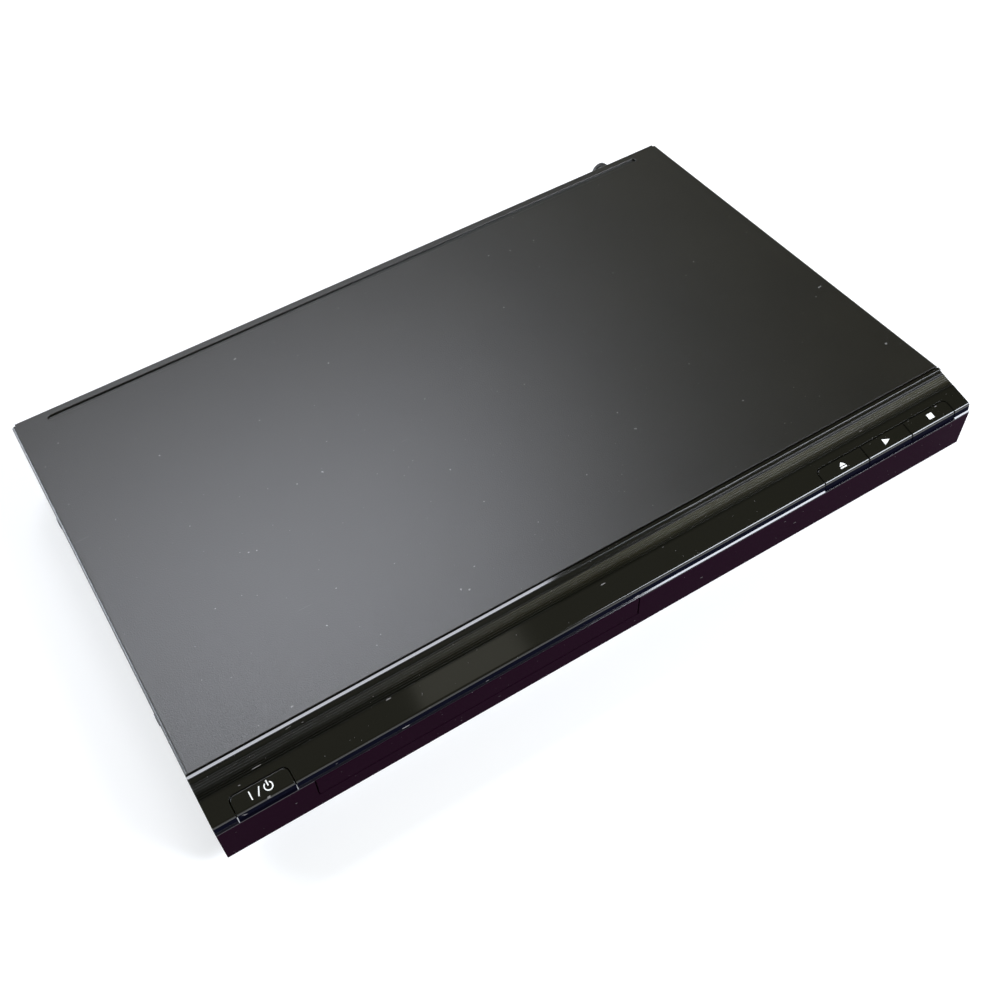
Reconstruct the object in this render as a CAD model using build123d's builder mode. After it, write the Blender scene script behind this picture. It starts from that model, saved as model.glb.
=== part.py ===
from build123d import *
import os
from math import acos, atan2, cos, degrees, pi, radians, sin, sqrt, tan

# A slim disc player with a motor-driven tray. Millimetres, +X to the viewer's right, +Y to the rear,
# +Z up, origin under the middle of the player on the surface that it stands on. Depths named here
# are counted from the nose of the front panel, and heights from the floor.

# overall
body_width = 320.0
body_depth = 208.0
body_height = 38.5
foot_height = 5.0
bushing_reach = 11.0
sheet = 0.8
seam_gap = 0.15
moving_gap = 0.35

# front panel section
cover_front = 19.6
panel_gap = 0.4
rim_width = 1.5
rim_drop = 0.6
rim_round = 0.25
slope_drop = 1.3
edge_inset = 0.9
edge_drop = 5.8
nose_drop = 9.6
foot_inset = 1.6
foot_drop = 28.2
chin_inset = 4.6
panel_wall = 2.2
tongue_length = 4.0
bottom_reach = 17.0
rib_count = 8
rib_pitch = 0.82
rib_start = 2.9
rib_depth = 0.28
edge_round = 1.0
nose_round = 0.4
band_foot_inset = 0.7
ledge_rise = 0.45

# keys
key_depth = 6.1
key_gap = 0.35
key_wall = 1.8
key_lip = 3.0
key_travel = 0.5
key_corner = 2.0
key_brim = 0.25
power_key_inset = 8.5
power_key_width = 20.6
right_keys_inset = 7.7
right_key_width = 21.3
stem_size = 3.0
switch_size = 6.0
switch_height = 3.5
actuator_radius = 1.75
actuator_height = 1.5
board_thickness = 1.6
key_board_depth = 14.0
receiver_room = 28.0

# tray, its door and the disc
disc_radius = 60.0
disc_gap = 0.75
small_disc_radius = 40.0
disc_thickness = 1.2
disc_hole_radius = 7.5
spindle_depth = 74.0
loader_inset = 99.2
door_width = 128.2
door_height = 10.4
door_wall = 2.4
tray_width = 126.0
tray_travel = 134.0
tray_hold = 42.0
tray_slack = 0.6
recess_depth = 2.6
small_recess_depth = 1.0
tray_floor = 1.8
rail_width = 2.2
rail_height = 3.6
tray_slot_width = 42.0
tray_slot_front = 18.0
tray_strap_length = 7.0
tray_strap_height = 2.2

# loader
frame_front = 14.0
frame_rear_gap = 18.0
frame_wall = 2.4
frame_floor = 2.0
frame_floor_height = 9.5
frame_opening = 108.0
frame_opening_lead = 1.1
frame_opening_tail = 15.0
gear_module = 1.0
gear_width = 3.0
pressure_angle = 20.0
backlash = 0.22
rack_width = 3.2
tray_gear_inset = 43.0
tray_gear_depth = 34.0
tray_gear_teeth = 32
tray_pinion_teeth = 20
pulley_pinion_teeth = 12
pulley_radius = 10.0
motor_pulley_radius = 3.0
belt_thickness = 1.2
belt_width = 1.6
running_gap = 0.05
gear_pin_radius = 1.5
loading_motor_radius = 12.2
loading_motor_height = 12.0
loading_motor_offset = 14.0
loading_motor_depth = 32.0
mesh_gap = 0.1

# traverse
table_height = 26.9
table_radius = 15.0
table_thickness = 1.5
pad_thickness = 0.5
pad_width = 4.0
cone_height = 1.9
lift = 7.0
pivot_depth = 165.0
pivot_height = 15.6
pivot_pin_radius = 1.75
sub_outer = 100.0
sub_wall = 3.8
sub_lead = 17.4
sub_tail = 5.0
sub_bottom = 14.3
sub_height = 5.7
cam_pin_radius = 1.5
cam_pin_length = 5.2
cam_pin_height = 18.2
cam_travel = 14.0
cam_thickness = 2.5
cam_length = 46.0
cam_left = 30.0
cam_foot = 2.5
cam_bottom = 7.0
cam_top = 21.9
deck_bottom = 16.7
deck_thickness = 1.2
deck_margin = 0.8
deck_width = 86.0
damper_radius = 4.5
damper_height = 4.0
damper_x = 38.0
damper_lead = 9.4
damper_tail = 15.0
rod_radius = 1.5
rod_spacing = 44.0
rod_height = 20.2
rod_lead = 10.0
rod_tail = 13.0
pickup_width = 38.0
pickup_length = 27.0
pickup_nose = 9.5
pickup_start = 24.0
pickup_travel = 36.0
pickup_bottom = 13.0
lens_radius = 3.2
spindle_motor_radius = 12.2
shaft_radius = 1.0
sled_module = 0.5
sled_rack_x = 32.0
sled_gear_depth = 112.0
sled_pinion_teeth = 10
sled_gear_teeth = 36
sled_small_teeth = 16
sled_motor_radius = 6.0
sled_motor_height = 5.5
sled_shaft_radius = 0.75
sled_gear_pin = 1.0

# clamp
clamp_radius = 15.0
clamp_neck_radius = 11.0
clamp_height = 29.3
clamp_plate = 1.4
clamp_flange = 1.0
bridge_height = 31.8
bridge_thickness = 1.2
bridge_depth = 32.0

# cover
strip_depth = 6.4
strip_width = 2.6
strip_end = 14.4
strip_drop = 0.9
strip_round = 0.35
rear_flange = 3.0
rear_tab = (18.0, 12.0)
relief = 1.6
fold_round = 1.2

# electronics
board_height = 12.0
main_board_gap = 10.8
main_board_length = 126.0
boards_apart = 6.0
power_board_inset = 6.0
power_board_width = 58.0
power_board_length = 94.0
board_rear_gap = 10.0
jack_pitch = 14.0
jack_count = 4
jack_radius = 4.15
jack_neck_radius = 3.6
jack_neck_depth = 3.0
jack_width = 13.4
jack_collar_radius = 5.35
jack_bore_radius = 1.7
jack_length = 7.1
jack_bore_length = 9.5
jack_height = 21.5
jack_depth = 12.0
jack_inset = 14.0
bushing_inset = 24.0
bushing_height = 27.0
bushing_flange = 6.6
bushing_radius = 5.2
cord_radius = 3.0

# fasteners
screw_radius = 1.4
screw_head_radius = 2.8
screw_head = 1.4
low_head = 0.7
screw_clearance = 0.1
post_radius = 3.2
rear_screw_insets = (25.0, 48.0)
foot_screw_insets = (40.0, 65.0)
rear_screw_height = 29.6
side_screw_height = 16.0
side_screw_lead = 40.4
side_screw_tail = 40.0

# worked out from the sizes above
front_y = -(body_depth + bushing_reach) / 2
half_width = body_width / 2
loader_x = -half_width + loader_inset
power_key_left = -half_width + power_key_inset
right_keys_left = half_width - right_keys_inset - 3 * right_key_width
sub_front = spindle_depth - sub_lead
sub_rear = pivot_depth + sub_tail
frame_rear = body_depth - frame_rear_gap
frame_opening_front = sub_front - frame_opening_lead
frame_opening_rear = pivot_depth - frame_opening_tail
damper_front = sub_front + damper_lead
damper_rear = pivot_depth - damper_tail
rod_front = spindle_depth + rod_lead
rod_rear = pivot_depth - rod_tail
board_rear = body_depth - board_rear_gap
power_board_right = half_width - power_board_inset
power_board_left = power_board_right - power_board_width
power_board_front = board_rear - power_board_length
main_board_right = power_board_left - boards_apart
main_board_front = board_rear - main_board_length
floor_top = foot_height + sheet
cover_under = body_height - sheet
tongue_top = cover_under - panel_gap
slope_rear = cover_front - panel_gap - rim_width
slope_run = slope_rear - edge_inset
slope_rise = edge_drop - slope_drop
slope_angle = atan2(slope_rise, slope_run)
nose_height = body_height - nose_drop
ledge_height = nose_height + ledge_rise
edge_height = body_height - edge_drop
face_lean = foot_inset / (foot_drop - nose_drop)
door_top = nose_height - moving_gap
door_bottom = door_top - door_height
tray_front = door_wall + moving_gap + face_lean * door_height
rim_height = table_height + disc_thickness + small_recess_depth / 10
recess_floor = rim_height - recess_depth
tray_under = recess_floor - small_recess_depth - tray_floor
rail_bottom = tray_under - rail_height
motor_x = loader_x + loading_motor_offset
tray_gear_x = loader_x - tray_gear_inset
tray_pinion_pitch = gear_module * tray_pinion_teeth / 2
tray_gear_pitch = gear_module * tray_gear_teeth / 2
pulley_pinion_pitch = gear_module * pulley_pinion_teeth / 2
rack_pitch_x = tray_gear_x - tray_pinion_pitch - mesh_gap
pulley_gear_x = tray_gear_x + tray_gear_pitch + pulley_pinion_pitch + mesh_gap
frame_deck = frame_floor_height + frame_floor
gear_bottom = frame_deck + 0.5
pulley_bottom = tray_under - 3.6
motor_top = pulley_bottom - 0.4
arm = pivot_depth - spindle_depth
tilt = atan2(lift, sqrt(arm**2 - lift**2))
standing = (Align.CENTER, Align.CENTER, Align.MIN)


def depth(distance):
    # the Y of a place that lies this far behind the nose
    return front_y + distance


def slope_z(distance):
    # the height of the panel's sloping top at a depth
    return edge_height + (distance - edge_inset) * slope_rise / slope_run


def facing_front(distance):
    # a vertical sketch plane in width and height at a depth, whose outside is towards the front
    return Plane(origin=(0, depth(distance), 0), x_dir=(1, 0, 0), z_dir=(0, -1, 0))


def facing_right(x):
    # a vertical sketch plane in Y and height at a place across the width, whose outside is to the right
    return Plane(origin=(x, 0, 0), x_dir=(0, 1, 0), z_dir=(1, 0, 0))


def block(x_from, x_to, near, far, z_low, z_high, mode=Mode.ADD):
    # a square block between two sides, in either order, two depths and two heights
    with Locations(((x_from + x_to) / 2, depth((near + far) / 2), z_low)):
        Box(abs(x_to - x_from), far - near, z_high - z_low, align=standing, mode=mode)


def post(x, distance, z_low, z_high, radius, mode=Mode.ADD):
    # an upright round post, or a hole of that shape
    with Locations((x, depth(distance), z_low)):
        Cylinder(radius, z_high - z_low, align=standing, mode=mode)


def screw_hole(x, distance, z_low, z_high):
    # an upright hole for a screw
    post(x, distance, z_low, z_high, screw_radius + screw_clearance, Mode.SUBTRACT)


def facing_up(x, distance, height):
    # a level plane for a screw whose head is on top
    return Plane(origin=(x, depth(distance), height), x_dir=(1, 0, 0), z_dir=(0, 0, 1))


def facing_down(x, distance, height):
    # a level plane for a screw that comes from below
    return Plane(origin=(x, depth(distance), height), x_dir=(1, 0, 0), z_dir=(0, 0, -1))


def facing_rear(x, distance, height):
    # an upright sketch plane whose outside is towards the rear and whose width counts to the left
    return Plane(origin=(x, depth(distance), height), x_dir=(-1, 0, 0), z_dir=(0, 1, 0))


def screw(plane, length, head=screw_head):
    # a pan-head screw: its head stands on the plane, its shank goes the other way
    with Locations(plane.location):
        Cone(screw_head_radius, screw_head_radius * 0.85, head, align=standing)
    with Locations(plane.offset(-length).location):
        Cylinder(screw_radius, length, align=standing)
    with Locations(plane.offset(head * 0.4).location):
        for turn in (0, 90):
            Box(screw_head_radius * 1.1, screw_head_radius * 0.25, head, rotation=(0, 0, turn),
                align=standing, mode=Mode.SUBTRACT)


def involute(angle):
    return tan(angle) - angle


def gear_outline(teeth, module, turn, centre):
    # involute teeth thinned by the backlash, with one tooth's middle at the angle turn
    pitch = teeth * module / 2
    base = pitch * cos(radians(pressure_angle))
    root = pitch - 1.25 * module
    tip = pitch + module
    half = (pi * module / 2 - backlash * module) / (2 * pitch)
    start = max(root, base)
    rings = [start + (tip - start) * step / 3 for step in range(4)]
    flank = [(ring, half + involute(radians(pressure_angle)) - involute(acos(min(1, base / ring))))
             for ring in rings]
    if root < base:
        flank.insert(0, (root, flank[0][1]))
    points = []
    for tooth in range(teeth):
        middle = radians(turn) + 2 * pi * tooth / teeth
        points += [(ring * cos(middle - spread), ring * sin(middle - spread)) for ring, spread in flank]
        points += [(ring * cos(middle + spread), ring * sin(middle + spread))
                   for ring, spread in reversed(flank)]
    return [(x + centre[0], y + centre[1]) for x, y in points]


def rack_outline(start, end, gap_at, module, back, line):
    # teeth that point to +X from a pitch line at this x, with a gap's middle at gap_at
    step = pi * module
    half = step / 4 - backlash * module / 2
    slant = tan(radians(pressure_angle))
    first = gap_at + step / 2 - step * int((gap_at + step / 2 - start - half * 2) / step)
    points = [(-back, start), (-1.25 * module, start)]
    middle = first
    while middle + half * 2 < end:
        for out in (-1.25 * module, module):
            points.append((out, middle - half + out * slant))
        for out in (module, -1.25 * module):
            points.append((out, middle + half - out * slant))
        middle += step
    points += [(-1.25 * module, end), (-back, end)]
    return [(line + x, y) for x, y in points]


def polygon(points):
    # a face from a closed outline, in the sketch that is being built
    Polygon(*points, align=None)


# front panel
panel_section = [
    (cover_front + tongue_length, tongue_top),
    (cover_front - panel_gap, tongue_top),
    (cover_front - panel_gap, body_height - rim_drop),
    (slope_rear, body_height - rim_drop),
    (slope_rear, body_height - slope_drop),
    (edge_inset, edge_height),
    (band_foot_inset, ledge_height),
    (0, nose_height),
    (foot_inset, body_height - foot_drop),
    (chin_inset, floor_top),
    (cover_front + tongue_length, floor_top),
]
panel_inside = [
    (cover_front + tongue_length, tongue_top),
    (slope_rear, body_height - slope_drop),
    (edge_inset, edge_height),
    (0, nose_height),
    (foot_inset, body_height - foot_drop),
    (chin_inset, floor_top),
    (cover_front + tongue_length, floor_top),
]
front_plane = Plane(origin=(0, front_y, 0), x_dir=(0, 1, 0), z_dir=(1, 0, 0))
end_step = sheet + seam_gap + panel_gap
door_left = loader_x - door_width / 2
power_key_right = power_key_left + power_key_width
right_keys_right = right_keys_left + 3 * right_key_width
key_rear = edge_inset + key_depth
key_floor = edge_height - key_lip - key_travel - 0.2
switch_depth = key_rear + 0.9
stem_bottom = edge_height - key_wall - 1.6
switch_top = stem_bottom - key_travel - 0.15
key_board_top = switch_top - switch_height - actuator_height
key_board_near = panel_wall + 2.6
key_board_far = key_board_near + key_board_depth
power_board_key_left = power_key_left - 3.0
power_board_key_right = power_key_right + 2.0
play_board_left = right_keys_left - receiver_room
play_board_right = right_keys_right + 2.0
key_post_depth = key_board_far - 3.2
key_posts = [power_board_key_left + 3.2, power_board_key_right - 3.2, play_board_left + 3.2,
             right_keys_left + 1.5 * right_key_width, play_board_right - 3.2]
panel_screws_x = [-half_width + 30.0, loader_x, 30.0, half_width - 30.0]
panel_screw_depth = 10.2
with BuildPart() as front_panel:
    with BuildSketch(front_plane):
        polygon(panel_section)
    extrude(amount=half_width, both=True)
    with BuildSketch(front_plane):
        polygon(panel_inside)
        offset(amount=-panel_wall, kind=Kind.INTERSECTION, mode=Mode.REPLACE)
    extrude(amount=half_width - panel_wall, both=True, mode=Mode.SUBTRACT)
    block(-half_width + panel_wall, half_width - panel_wall, cover_front - panel_wall,
          cover_front + tongue_length, floor_top + panel_wall, tongue_top - panel_wall, Mode.SUBTRACT)
    block(-half_width + panel_wall, half_width - panel_wall, bottom_reach, cover_front + tongue_length,
          floor_top, floor_top + panel_wall, Mode.SUBTRACT)
    # the ends step in under the cover's side walls, and the tongue under its top
    for side in (-1, 1):
        block(side * half_width - end_step, side * half_width + end_step, cover_front - panel_gap,
              cover_front + tongue_length, 0, body_height, Mode.SUBTRACT)
    # rounded rim, upper edge, nose and foot of the face
    for edge_at, rounding in (((slope_rear, body_height - rim_drop), rim_round),
                              ((cover_front - panel_gap, body_height - rim_drop), rim_round * 0.6),
                              ((edge_inset, edge_height), edge_round), ((0, nose_height), nose_round),
                              ((foot_inset, body_height - foot_drop), edge_round)):
        near = front_panel.edges().filter_by(Axis.X).sort_by_distance((0, depth(edge_at[0]), edge_at[1]))[0]
        fillet(near, rounding)
    # fine ribs along the rear half of the slope
    with BuildSketch(front_plane):
        for rib in range(rib_count):
            rib_at = cover_front - rib_start - rib * rib_pitch
            rib_top = slope_z(rib_at)
            polygon([(rib_at, rib_top + 0.1), (rib_at - rib_pitch * 0.75, rib_top + 0.1),
                     (rib_at - rib_pitch * 0.75, rib_top - rib_pitch * 0.2),
                     (rib_at - rib_pitch * 0.1, rib_top - rib_depth)])
    extrude(amount=half_width, both=True, mode=Mode.SUBTRACT)
    # tray window
    block(door_left - moving_gap, door_left + door_width + moving_gap, -1, panel_wall + foot_inset + 1,
          door_bottom - moving_gap, door_top + moving_gap, Mode.SUBTRACT)
    # notches for the keys, open at the front, with rounded rear corners
    for notch_left, notch_right in ((power_key_left, power_key_right), (right_keys_left, right_keys_right)):
        with BuildSketch(Plane.XY.offset(key_floor)):
            with Locations(((notch_left + notch_right) / 2, depth((key_rear + key_gap) / 2 - 2))):
                RectangleRounded(notch_right - notch_left + 2 * key_gap, key_rear + key_gap + 4,
                                 key_corner + key_gap)
        extrude(amount=body_height - key_floor, mode=Mode.SUBTRACT)
    # bosses for the screws of the key boards, and for those that come up through the chassis
    for post_x in key_posts:
        post(post_x, key_post_depth, key_board_top, slope_z(key_post_depth) - panel_wall / 2, post_radius)
        screw_hole(post_x, key_post_depth, key_board_top, key_board_top + 6)
    for screw_x in panel_screws_x:
        post(screw_x, panel_screw_depth, floor_top, floor_top + 8, post_radius)
        screw_hole(screw_x, panel_screw_depth, floor_top, floor_top + 7)
front_panel.part.label = "front_panel"

# keys: a cap that carries the panel's slope and front edge, a tab under the panel and a stem
def key_cap(left, right, round_left, round_right, name):
    key_front_bottom = edge_height - key_lip
    band_share = key_lip / (edge_height - ledge_height)
    band_inset = edge_inset - (edge_inset - band_foot_inset) * band_share
    under_rear = slope_z(key_rear) - key_wall / cos(slope_angle)
    under_front = edge_height - key_wall
    tab_top = slope_z(key_rear) - panel_wall / cos(slope_angle) - moving_gap
    with BuildPart() as cap:
        with BuildSketch(Plane(origin=(left, front_y, 0), x_dir=(0, 1, 0), z_dir=(1, 0, 0))):
            polygon([(key_rear, slope_z(key_rear)), (edge_inset, edge_height), (band_inset, key_front_bottom),
                     (band_inset + key_wall, key_front_bottom), (edge_inset + key_wall, under_front),
                     (key_rear, under_rear)])
        extrude(amount=right - left)
        front_edge = cap.edges().filter_by(Axis.X).sort_by_distance(((left + right) / 2, depth(edge_inset),
                                                                   edge_height))[0]
        fillet(front_edge, edge_round)
        if round_left:
            first = cap.edges().filter_by(Axis.Z).sort_by_distance((left, depth(key_rear), under_rear))[0]
            fillet(first, key_corner)
        if round_right:
            last = cap.edges().filter_by(Axis.Z).sort_by_distance((right, depth(key_rear), under_rear))[0]
            fillet(last, key_corner)
        middle = (left + right) / 2
        # softened brim along the rear and the sides of the key's face
        face = cap.faces().sort_by_distance((middle, depth(key_rear / 2), slope_z(key_rear / 2)))[0]
        fillet(face.edges().sort_by(Axis.Z)[1:], key_brim)
        block(middle - 4, middle + 4, key_rear - 3.2, key_rear - 1, stem_bottom + 0.8, under_front + 0.6)
        block(middle - 4, middle + 4, key_rear - 3.2, key_rear + 2.4, stem_bottom + 0.8, tab_top)
        block(middle - stem_size / 2, middle + stem_size / 2, switch_depth - stem_size / 2,
              switch_depth + stem_size / 2, stem_bottom, stem_bottom + 1)
    cap.part.label = name
    return cap.part


power_key = key_cap(power_key_left, power_key_right, True, True, "power_key")
key_lefts = [right_keys_left + index * right_key_width for index in range(3)]
eject_key = key_cap(key_lefts[0], key_lefts[0] + right_key_width - key_gap / 2, True, False, "eject_key")
play_key = key_cap(key_lefts[1] + key_gap / 2, key_lefts[1] + right_key_width - key_gap / 2, False, False,
                   "play_key")
stop_key = key_cap(key_lefts[2] + key_gap / 2, key_lefts[2] + right_key_width, False, True, "stop_key")

key_centres = [(power_key_left + power_key_right) / 2] + [left + right_key_width / 2 for left in key_lefts]
with BuildPart() as power_key_board:
    block(power_board_key_left, power_board_key_right, key_board_near, key_board_far,
          key_board_top - board_thickness, key_board_top)
    for post_x in key_posts[:2]:
        screw_hole(post_x, key_post_depth, 0, body_height)
power_key_board.part.label = "power_key_board"

with BuildPart() as play_key_board:
    block(play_board_left, play_board_right, key_board_near, key_board_far, key_board_top - board_thickness,
          key_board_top)
    for post_x in key_posts[2:]:
        screw_hole(post_x, key_post_depth, 0, body_height)
play_key_board.part.label = "play_key_board"

with BuildPart() as key_switches:
    for key_x in key_centres:
        block(key_x - switch_size / 2, key_x + switch_size / 2, switch_depth - switch_size / 2,
              switch_depth + switch_size / 2, key_board_top, key_board_top + switch_height)
        post(key_x, switch_depth, key_board_top + switch_height, switch_top, actuator_radius)
key_switches.part.label = "key_switches"

receiver_x = play_board_left + 5.5
receiver_near = key_board_near + 0.4
with BuildPart() as remote_receiver:
    block(receiver_x - 3, receiver_x + 3, receiver_near + 1.2, receiver_near + 4.2, key_board_top,
          key_board_top + 6.5)
    with BuildSketch(facing_front(receiver_near + 1.2)):
        with Locations((receiver_x, key_board_top + 3.6)):
            Circle(2.2)
    extrude(amount=1.2, taper=20)
remote_receiver.part.label = "remote_receiver"

# tray door: carries on the panel's lower face
with BuildPart() as tray_door:
    with BuildSketch(front_plane):
        polygon([(face_lean * (nose_height - door_top), door_top),
                 (face_lean * (nose_height - door_bottom), door_bottom),
                 (tray_front, door_bottom), (tray_front, door_top)])
    extrude(amount=door_width)
    # a hollow behind, and bevelled outer edges
    front_face = tray_door.faces().sort_by(Axis.Y)[0]
    chamfer(front_face.edges(), 0.25)
tray_door.part = tray_door.part.moved(Location((door_left, 0, 0)))
tray_door.part.label = "tray_door"

# disc tray
tray_left = loader_x - tray_width / 2
tray_right = loader_x + tray_width / 2
tray_rear = tray_front + tray_travel + tray_hold
finger_reach = 7.0
finger_radius = 13.0
with BuildPart() as disc_tray:
    block(tray_left, tray_right, tray_front, tray_rear, tray_under, rim_height)
    vertical = disc_tray.edges().filter_by(Axis.Z).group_by(Axis.Y)[-1]
    fillet(vertical, 5)
    post(loader_x, spindle_depth, recess_floor, rim_height, disc_radius + disc_gap, Mode.SUBTRACT)
    post(loader_x, spindle_depth, recess_floor - small_recess_depth, rim_height,
         small_disc_radius + disc_gap / 2, Mode.SUBTRACT)
    # finger reliefs at the four corners of the disc's recess
    reach = (disc_radius + disc_gap + finger_reach - finger_radius) / sqrt(2)
    for side in (-1, 1):
        for end in (-1, 1):
            post(loader_x + side * reach, spindle_depth + end * reach, recess_floor - 0.6, rim_height,
                 finger_radius, Mode.SUBTRACT)
    # slot for the turntable and the pickup, with a raised strap across its rear end
    with BuildSketch(Plane.XY.offset(tray_under)):
        slot_far = tray_rear - tray_strap_length
        with Locations((loader_x, depth((spindle_depth - tray_slot_front + slot_far) / 2))):
            RectangleRounded(tray_slot_width, slot_far - spindle_depth + tray_slot_front, 12)
    extrude(amount=rim_height - tray_under, mode=Mode.SUBTRACT)
    block(loader_x - tray_slot_width / 2, loader_x + tray_slot_width / 2, slot_far - 14, tray_rear,
          tray_under, rim_height - tray_strap_height, Mode.SUBTRACT)
    # runners down both sides, a front wall behind the door, and the rack
    for side_x in (tray_left, tray_right - rail_width):
        block(side_x, side_x + rail_width, tray_front, tray_rear - 6, rail_bottom, tray_under)
    block(tray_left, tray_right, tray_front, tray_front + rail_width, door_bottom + 0.6, tray_under)
    with BuildSketch(Plane.XY.offset(rail_bottom + 0.2)):
        polygon(rack_outline(depth(tray_gear_depth - 9), depth(tray_rear - 2), depth(tray_gear_depth),
                             gear_module, rack_width, rack_pitch_x))
    extrude(amount=rail_height - 0.2)
disc_tray.part.label = "disc_tray"

# loader frame
frame_side = tray_width / 2 + tray_slack
frame_outer = frame_side + frame_wall
ledge_top = rail_bottom - 0.3
ledge_reach = 4.2
tab_height = 1.4
tab_reach = 1.8
tab_depths = (30.0, 112.0, 168.0)
bridge_pad = 6.0
bridge_screw_x = frame_side + bridge_pad / 2
bridge_screws_y = (spindle_depth - 10, spindle_depth + 10)
bearing_inner = sub_outer / 2 + 1.0
bearing_wall = 2.8
frame_ears = [(loader_x + side * (frame_outer + 3.2), ear)
              for side in (-1, 1) for ear in (frame_front + 14, frame_rear - 12)]
cam_near = sub_front - cam_pin_length - 0.3
cam_far = cam_near + cam_thickness
with BuildPart() as loader_frame:
    block(loader_x - frame_outer, loader_x + frame_outer, frame_front, frame_rear, frame_floor_height,
          frame_deck)
    block(loader_x - frame_opening / 2, loader_x + frame_opening / 2, frame_opening_front, frame_opening_rear,
          frame_floor_height, frame_deck, Mode.SUBTRACT)
    for side in (-1, 1):
        inner_x = loader_x + side * frame_side
        outer_x = loader_x + side * frame_outer
        block(inner_x, outer_x, frame_front, frame_rear, frame_floor_height,
              rim_height + moving_gap + tab_height)
        ledge_x = inner_x - side * ledge_reach
        block(inner_x, ledge_x, frame_front, frame_rear, ledge_top - 1.6, ledge_top)
        tab_x = inner_x - side * tab_reach
        for tab_depth in tab_depths:
            block(inner_x, tab_x, tab_depth - 5, tab_depth + 5, rim_height + moving_gap,
                  rim_height + moving_gap + tab_height)
        # pads that carry the clamp bridge
        pad_x = inner_x + side * bridge_pad
        block(inner_x, pad_x, spindle_depth - bridge_depth / 2, spindle_depth + bridge_depth / 2,
              frame_floor_height, bridge_height)
        for screw_y in bridge_screws_y:
            post(loader_x + side * bridge_screw_x, screw_y, bridge_height - 8, bridge_height,
                 screw_radius + screw_clearance, Mode.SUBTRACT)
        # bearings of the traverse
        bearing_x = loader_x + side * (bearing_inner + bearing_wall / 2)
        block(bearing_x - bearing_wall / 2, bearing_x + bearing_wall / 2, pivot_depth - 6, pivot_depth + 6,
              frame_floor_height, ledge_top)
        with BuildSketch(facing_right(bearing_x - bearing_wall)):
            with Locations((depth(pivot_depth), pivot_height)):
                Circle(pivot_pin_radius + running_gap)
        extrude(amount=2 * bearing_wall, mode=Mode.SUBTRACT)
    for ear_x, ear_depth in frame_ears:
        block(ear_x - 5, ear_x + 5, ear_depth - 5, ear_depth + 5, frame_floor_height, frame_deck)
        screw_hole(ear_x, ear_depth, frame_floor_height, frame_deck)
    # pins for the gears and a collar for the motor
    post(tray_gear_x, tray_gear_depth, frame_deck, tray_under - 0.6, gear_pin_radius)
    post(pulley_gear_x, tray_gear_depth, frame_deck, tray_under - 0.6, gear_pin_radius)
    post(motor_x, loading_motor_depth, frame_deck, motor_top - 1.5, loading_motor_radius + 1.8)
    post(motor_x, loading_motor_depth, frame_floor_height, motor_top, loading_motor_radius + 0.1,
         Mode.SUBTRACT)
    # slot that the cam slide hangs through, and a notch behind it for the traverse's pin
    block(loader_x - cam_pin_radius - 0.6, loader_x + cam_pin_radius + 0.6, cam_far, frame_opening_front,
          frame_floor_height, frame_deck, Mode.SUBTRACT)
    block(loader_x - cam_left - 1, loader_x - cam_left + cam_length + cam_travel + 1,
          cam_near - moving_gap, cam_far + moving_gap, frame_floor_height, frame_deck, Mode.SUBTRACT)
loader_frame.part.label = "loader_frame"

# loading gears, belt and motor
tray_gear_at = (tray_gear_x, depth(tray_gear_depth))
pulley_gear_at = (pulley_gear_x, depth(tray_gear_depth))
with BuildPart() as tray_gear:
    with BuildSketch(Plane.XY.offset(gear_bottom)):
        polygon(gear_outline(tray_gear_teeth, gear_module, 0, tray_gear_at))
    extrude(amount=gear_width)
    post(tray_gear_x, tray_gear_depth, gear_bottom + gear_width, rail_bottom + 0.2,
         tray_pinion_pitch - 1.25 * gear_module)
    with BuildSketch(Plane.XY.offset(rail_bottom + 0.2)):
        polygon(gear_outline(tray_pinion_teeth, gear_module, 180, tray_gear_at))
    extrude(amount=gear_width)
    # lightening ring in the wheel's underside, and the bore
    with BuildSketch(Plane.XY.offset(gear_bottom)):
        with Locations((tray_gear_x, depth(tray_gear_depth))):
            Circle(tray_gear_pitch - 3.5)
            Circle(gear_pin_radius + 2.5, mode=Mode.SUBTRACT)
    extrude(amount=gear_width / 2, mode=Mode.SUBTRACT)
    post(tray_gear_x, tray_gear_depth, gear_bottom, tray_under, gear_pin_radius + running_gap, Mode.SUBTRACT)
tray_gear.part.label = "tray_gear"

pulley_top = pulley_bottom + 2.8
pinion_turn = 180 + 180 / pulley_pinion_teeth
with BuildPart() as pulley_gear:
    with BuildSketch(Plane.XY.offset(gear_bottom)):
        polygon(gear_outline(pulley_pinion_teeth, gear_module, pinion_turn, pulley_gear_at))
    extrude(amount=gear_width + 0.5)
    post(pulley_gear_x, tray_gear_depth, gear_bottom + gear_width + 0.5, pulley_bottom,
         pulley_pinion_pitch - 1.25 * gear_module)
    post(pulley_gear_x, tray_gear_depth, pulley_bottom, pulley_top, pulley_radius)
    groove = (pulley_top - pulley_bottom - belt_width) / 2
    with BuildSketch(Plane.XY.offset(pulley_bottom + groove - 0.1)):
        with Locations((pulley_gear_x, depth(tray_gear_depth))):
            Circle(pulley_radius + 1)
            Circle(pulley_radius - belt_thickness, mode=Mode.SUBTRACT)
    extrude(amount=belt_width + 0.2, mode=Mode.SUBTRACT)
    post(pulley_gear_x, tray_gear_depth, gear_bottom, tray_under, gear_pin_radius + running_gap,
         Mode.SUBTRACT)
pulley_gear.part.label = "pulley_gear"

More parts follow.
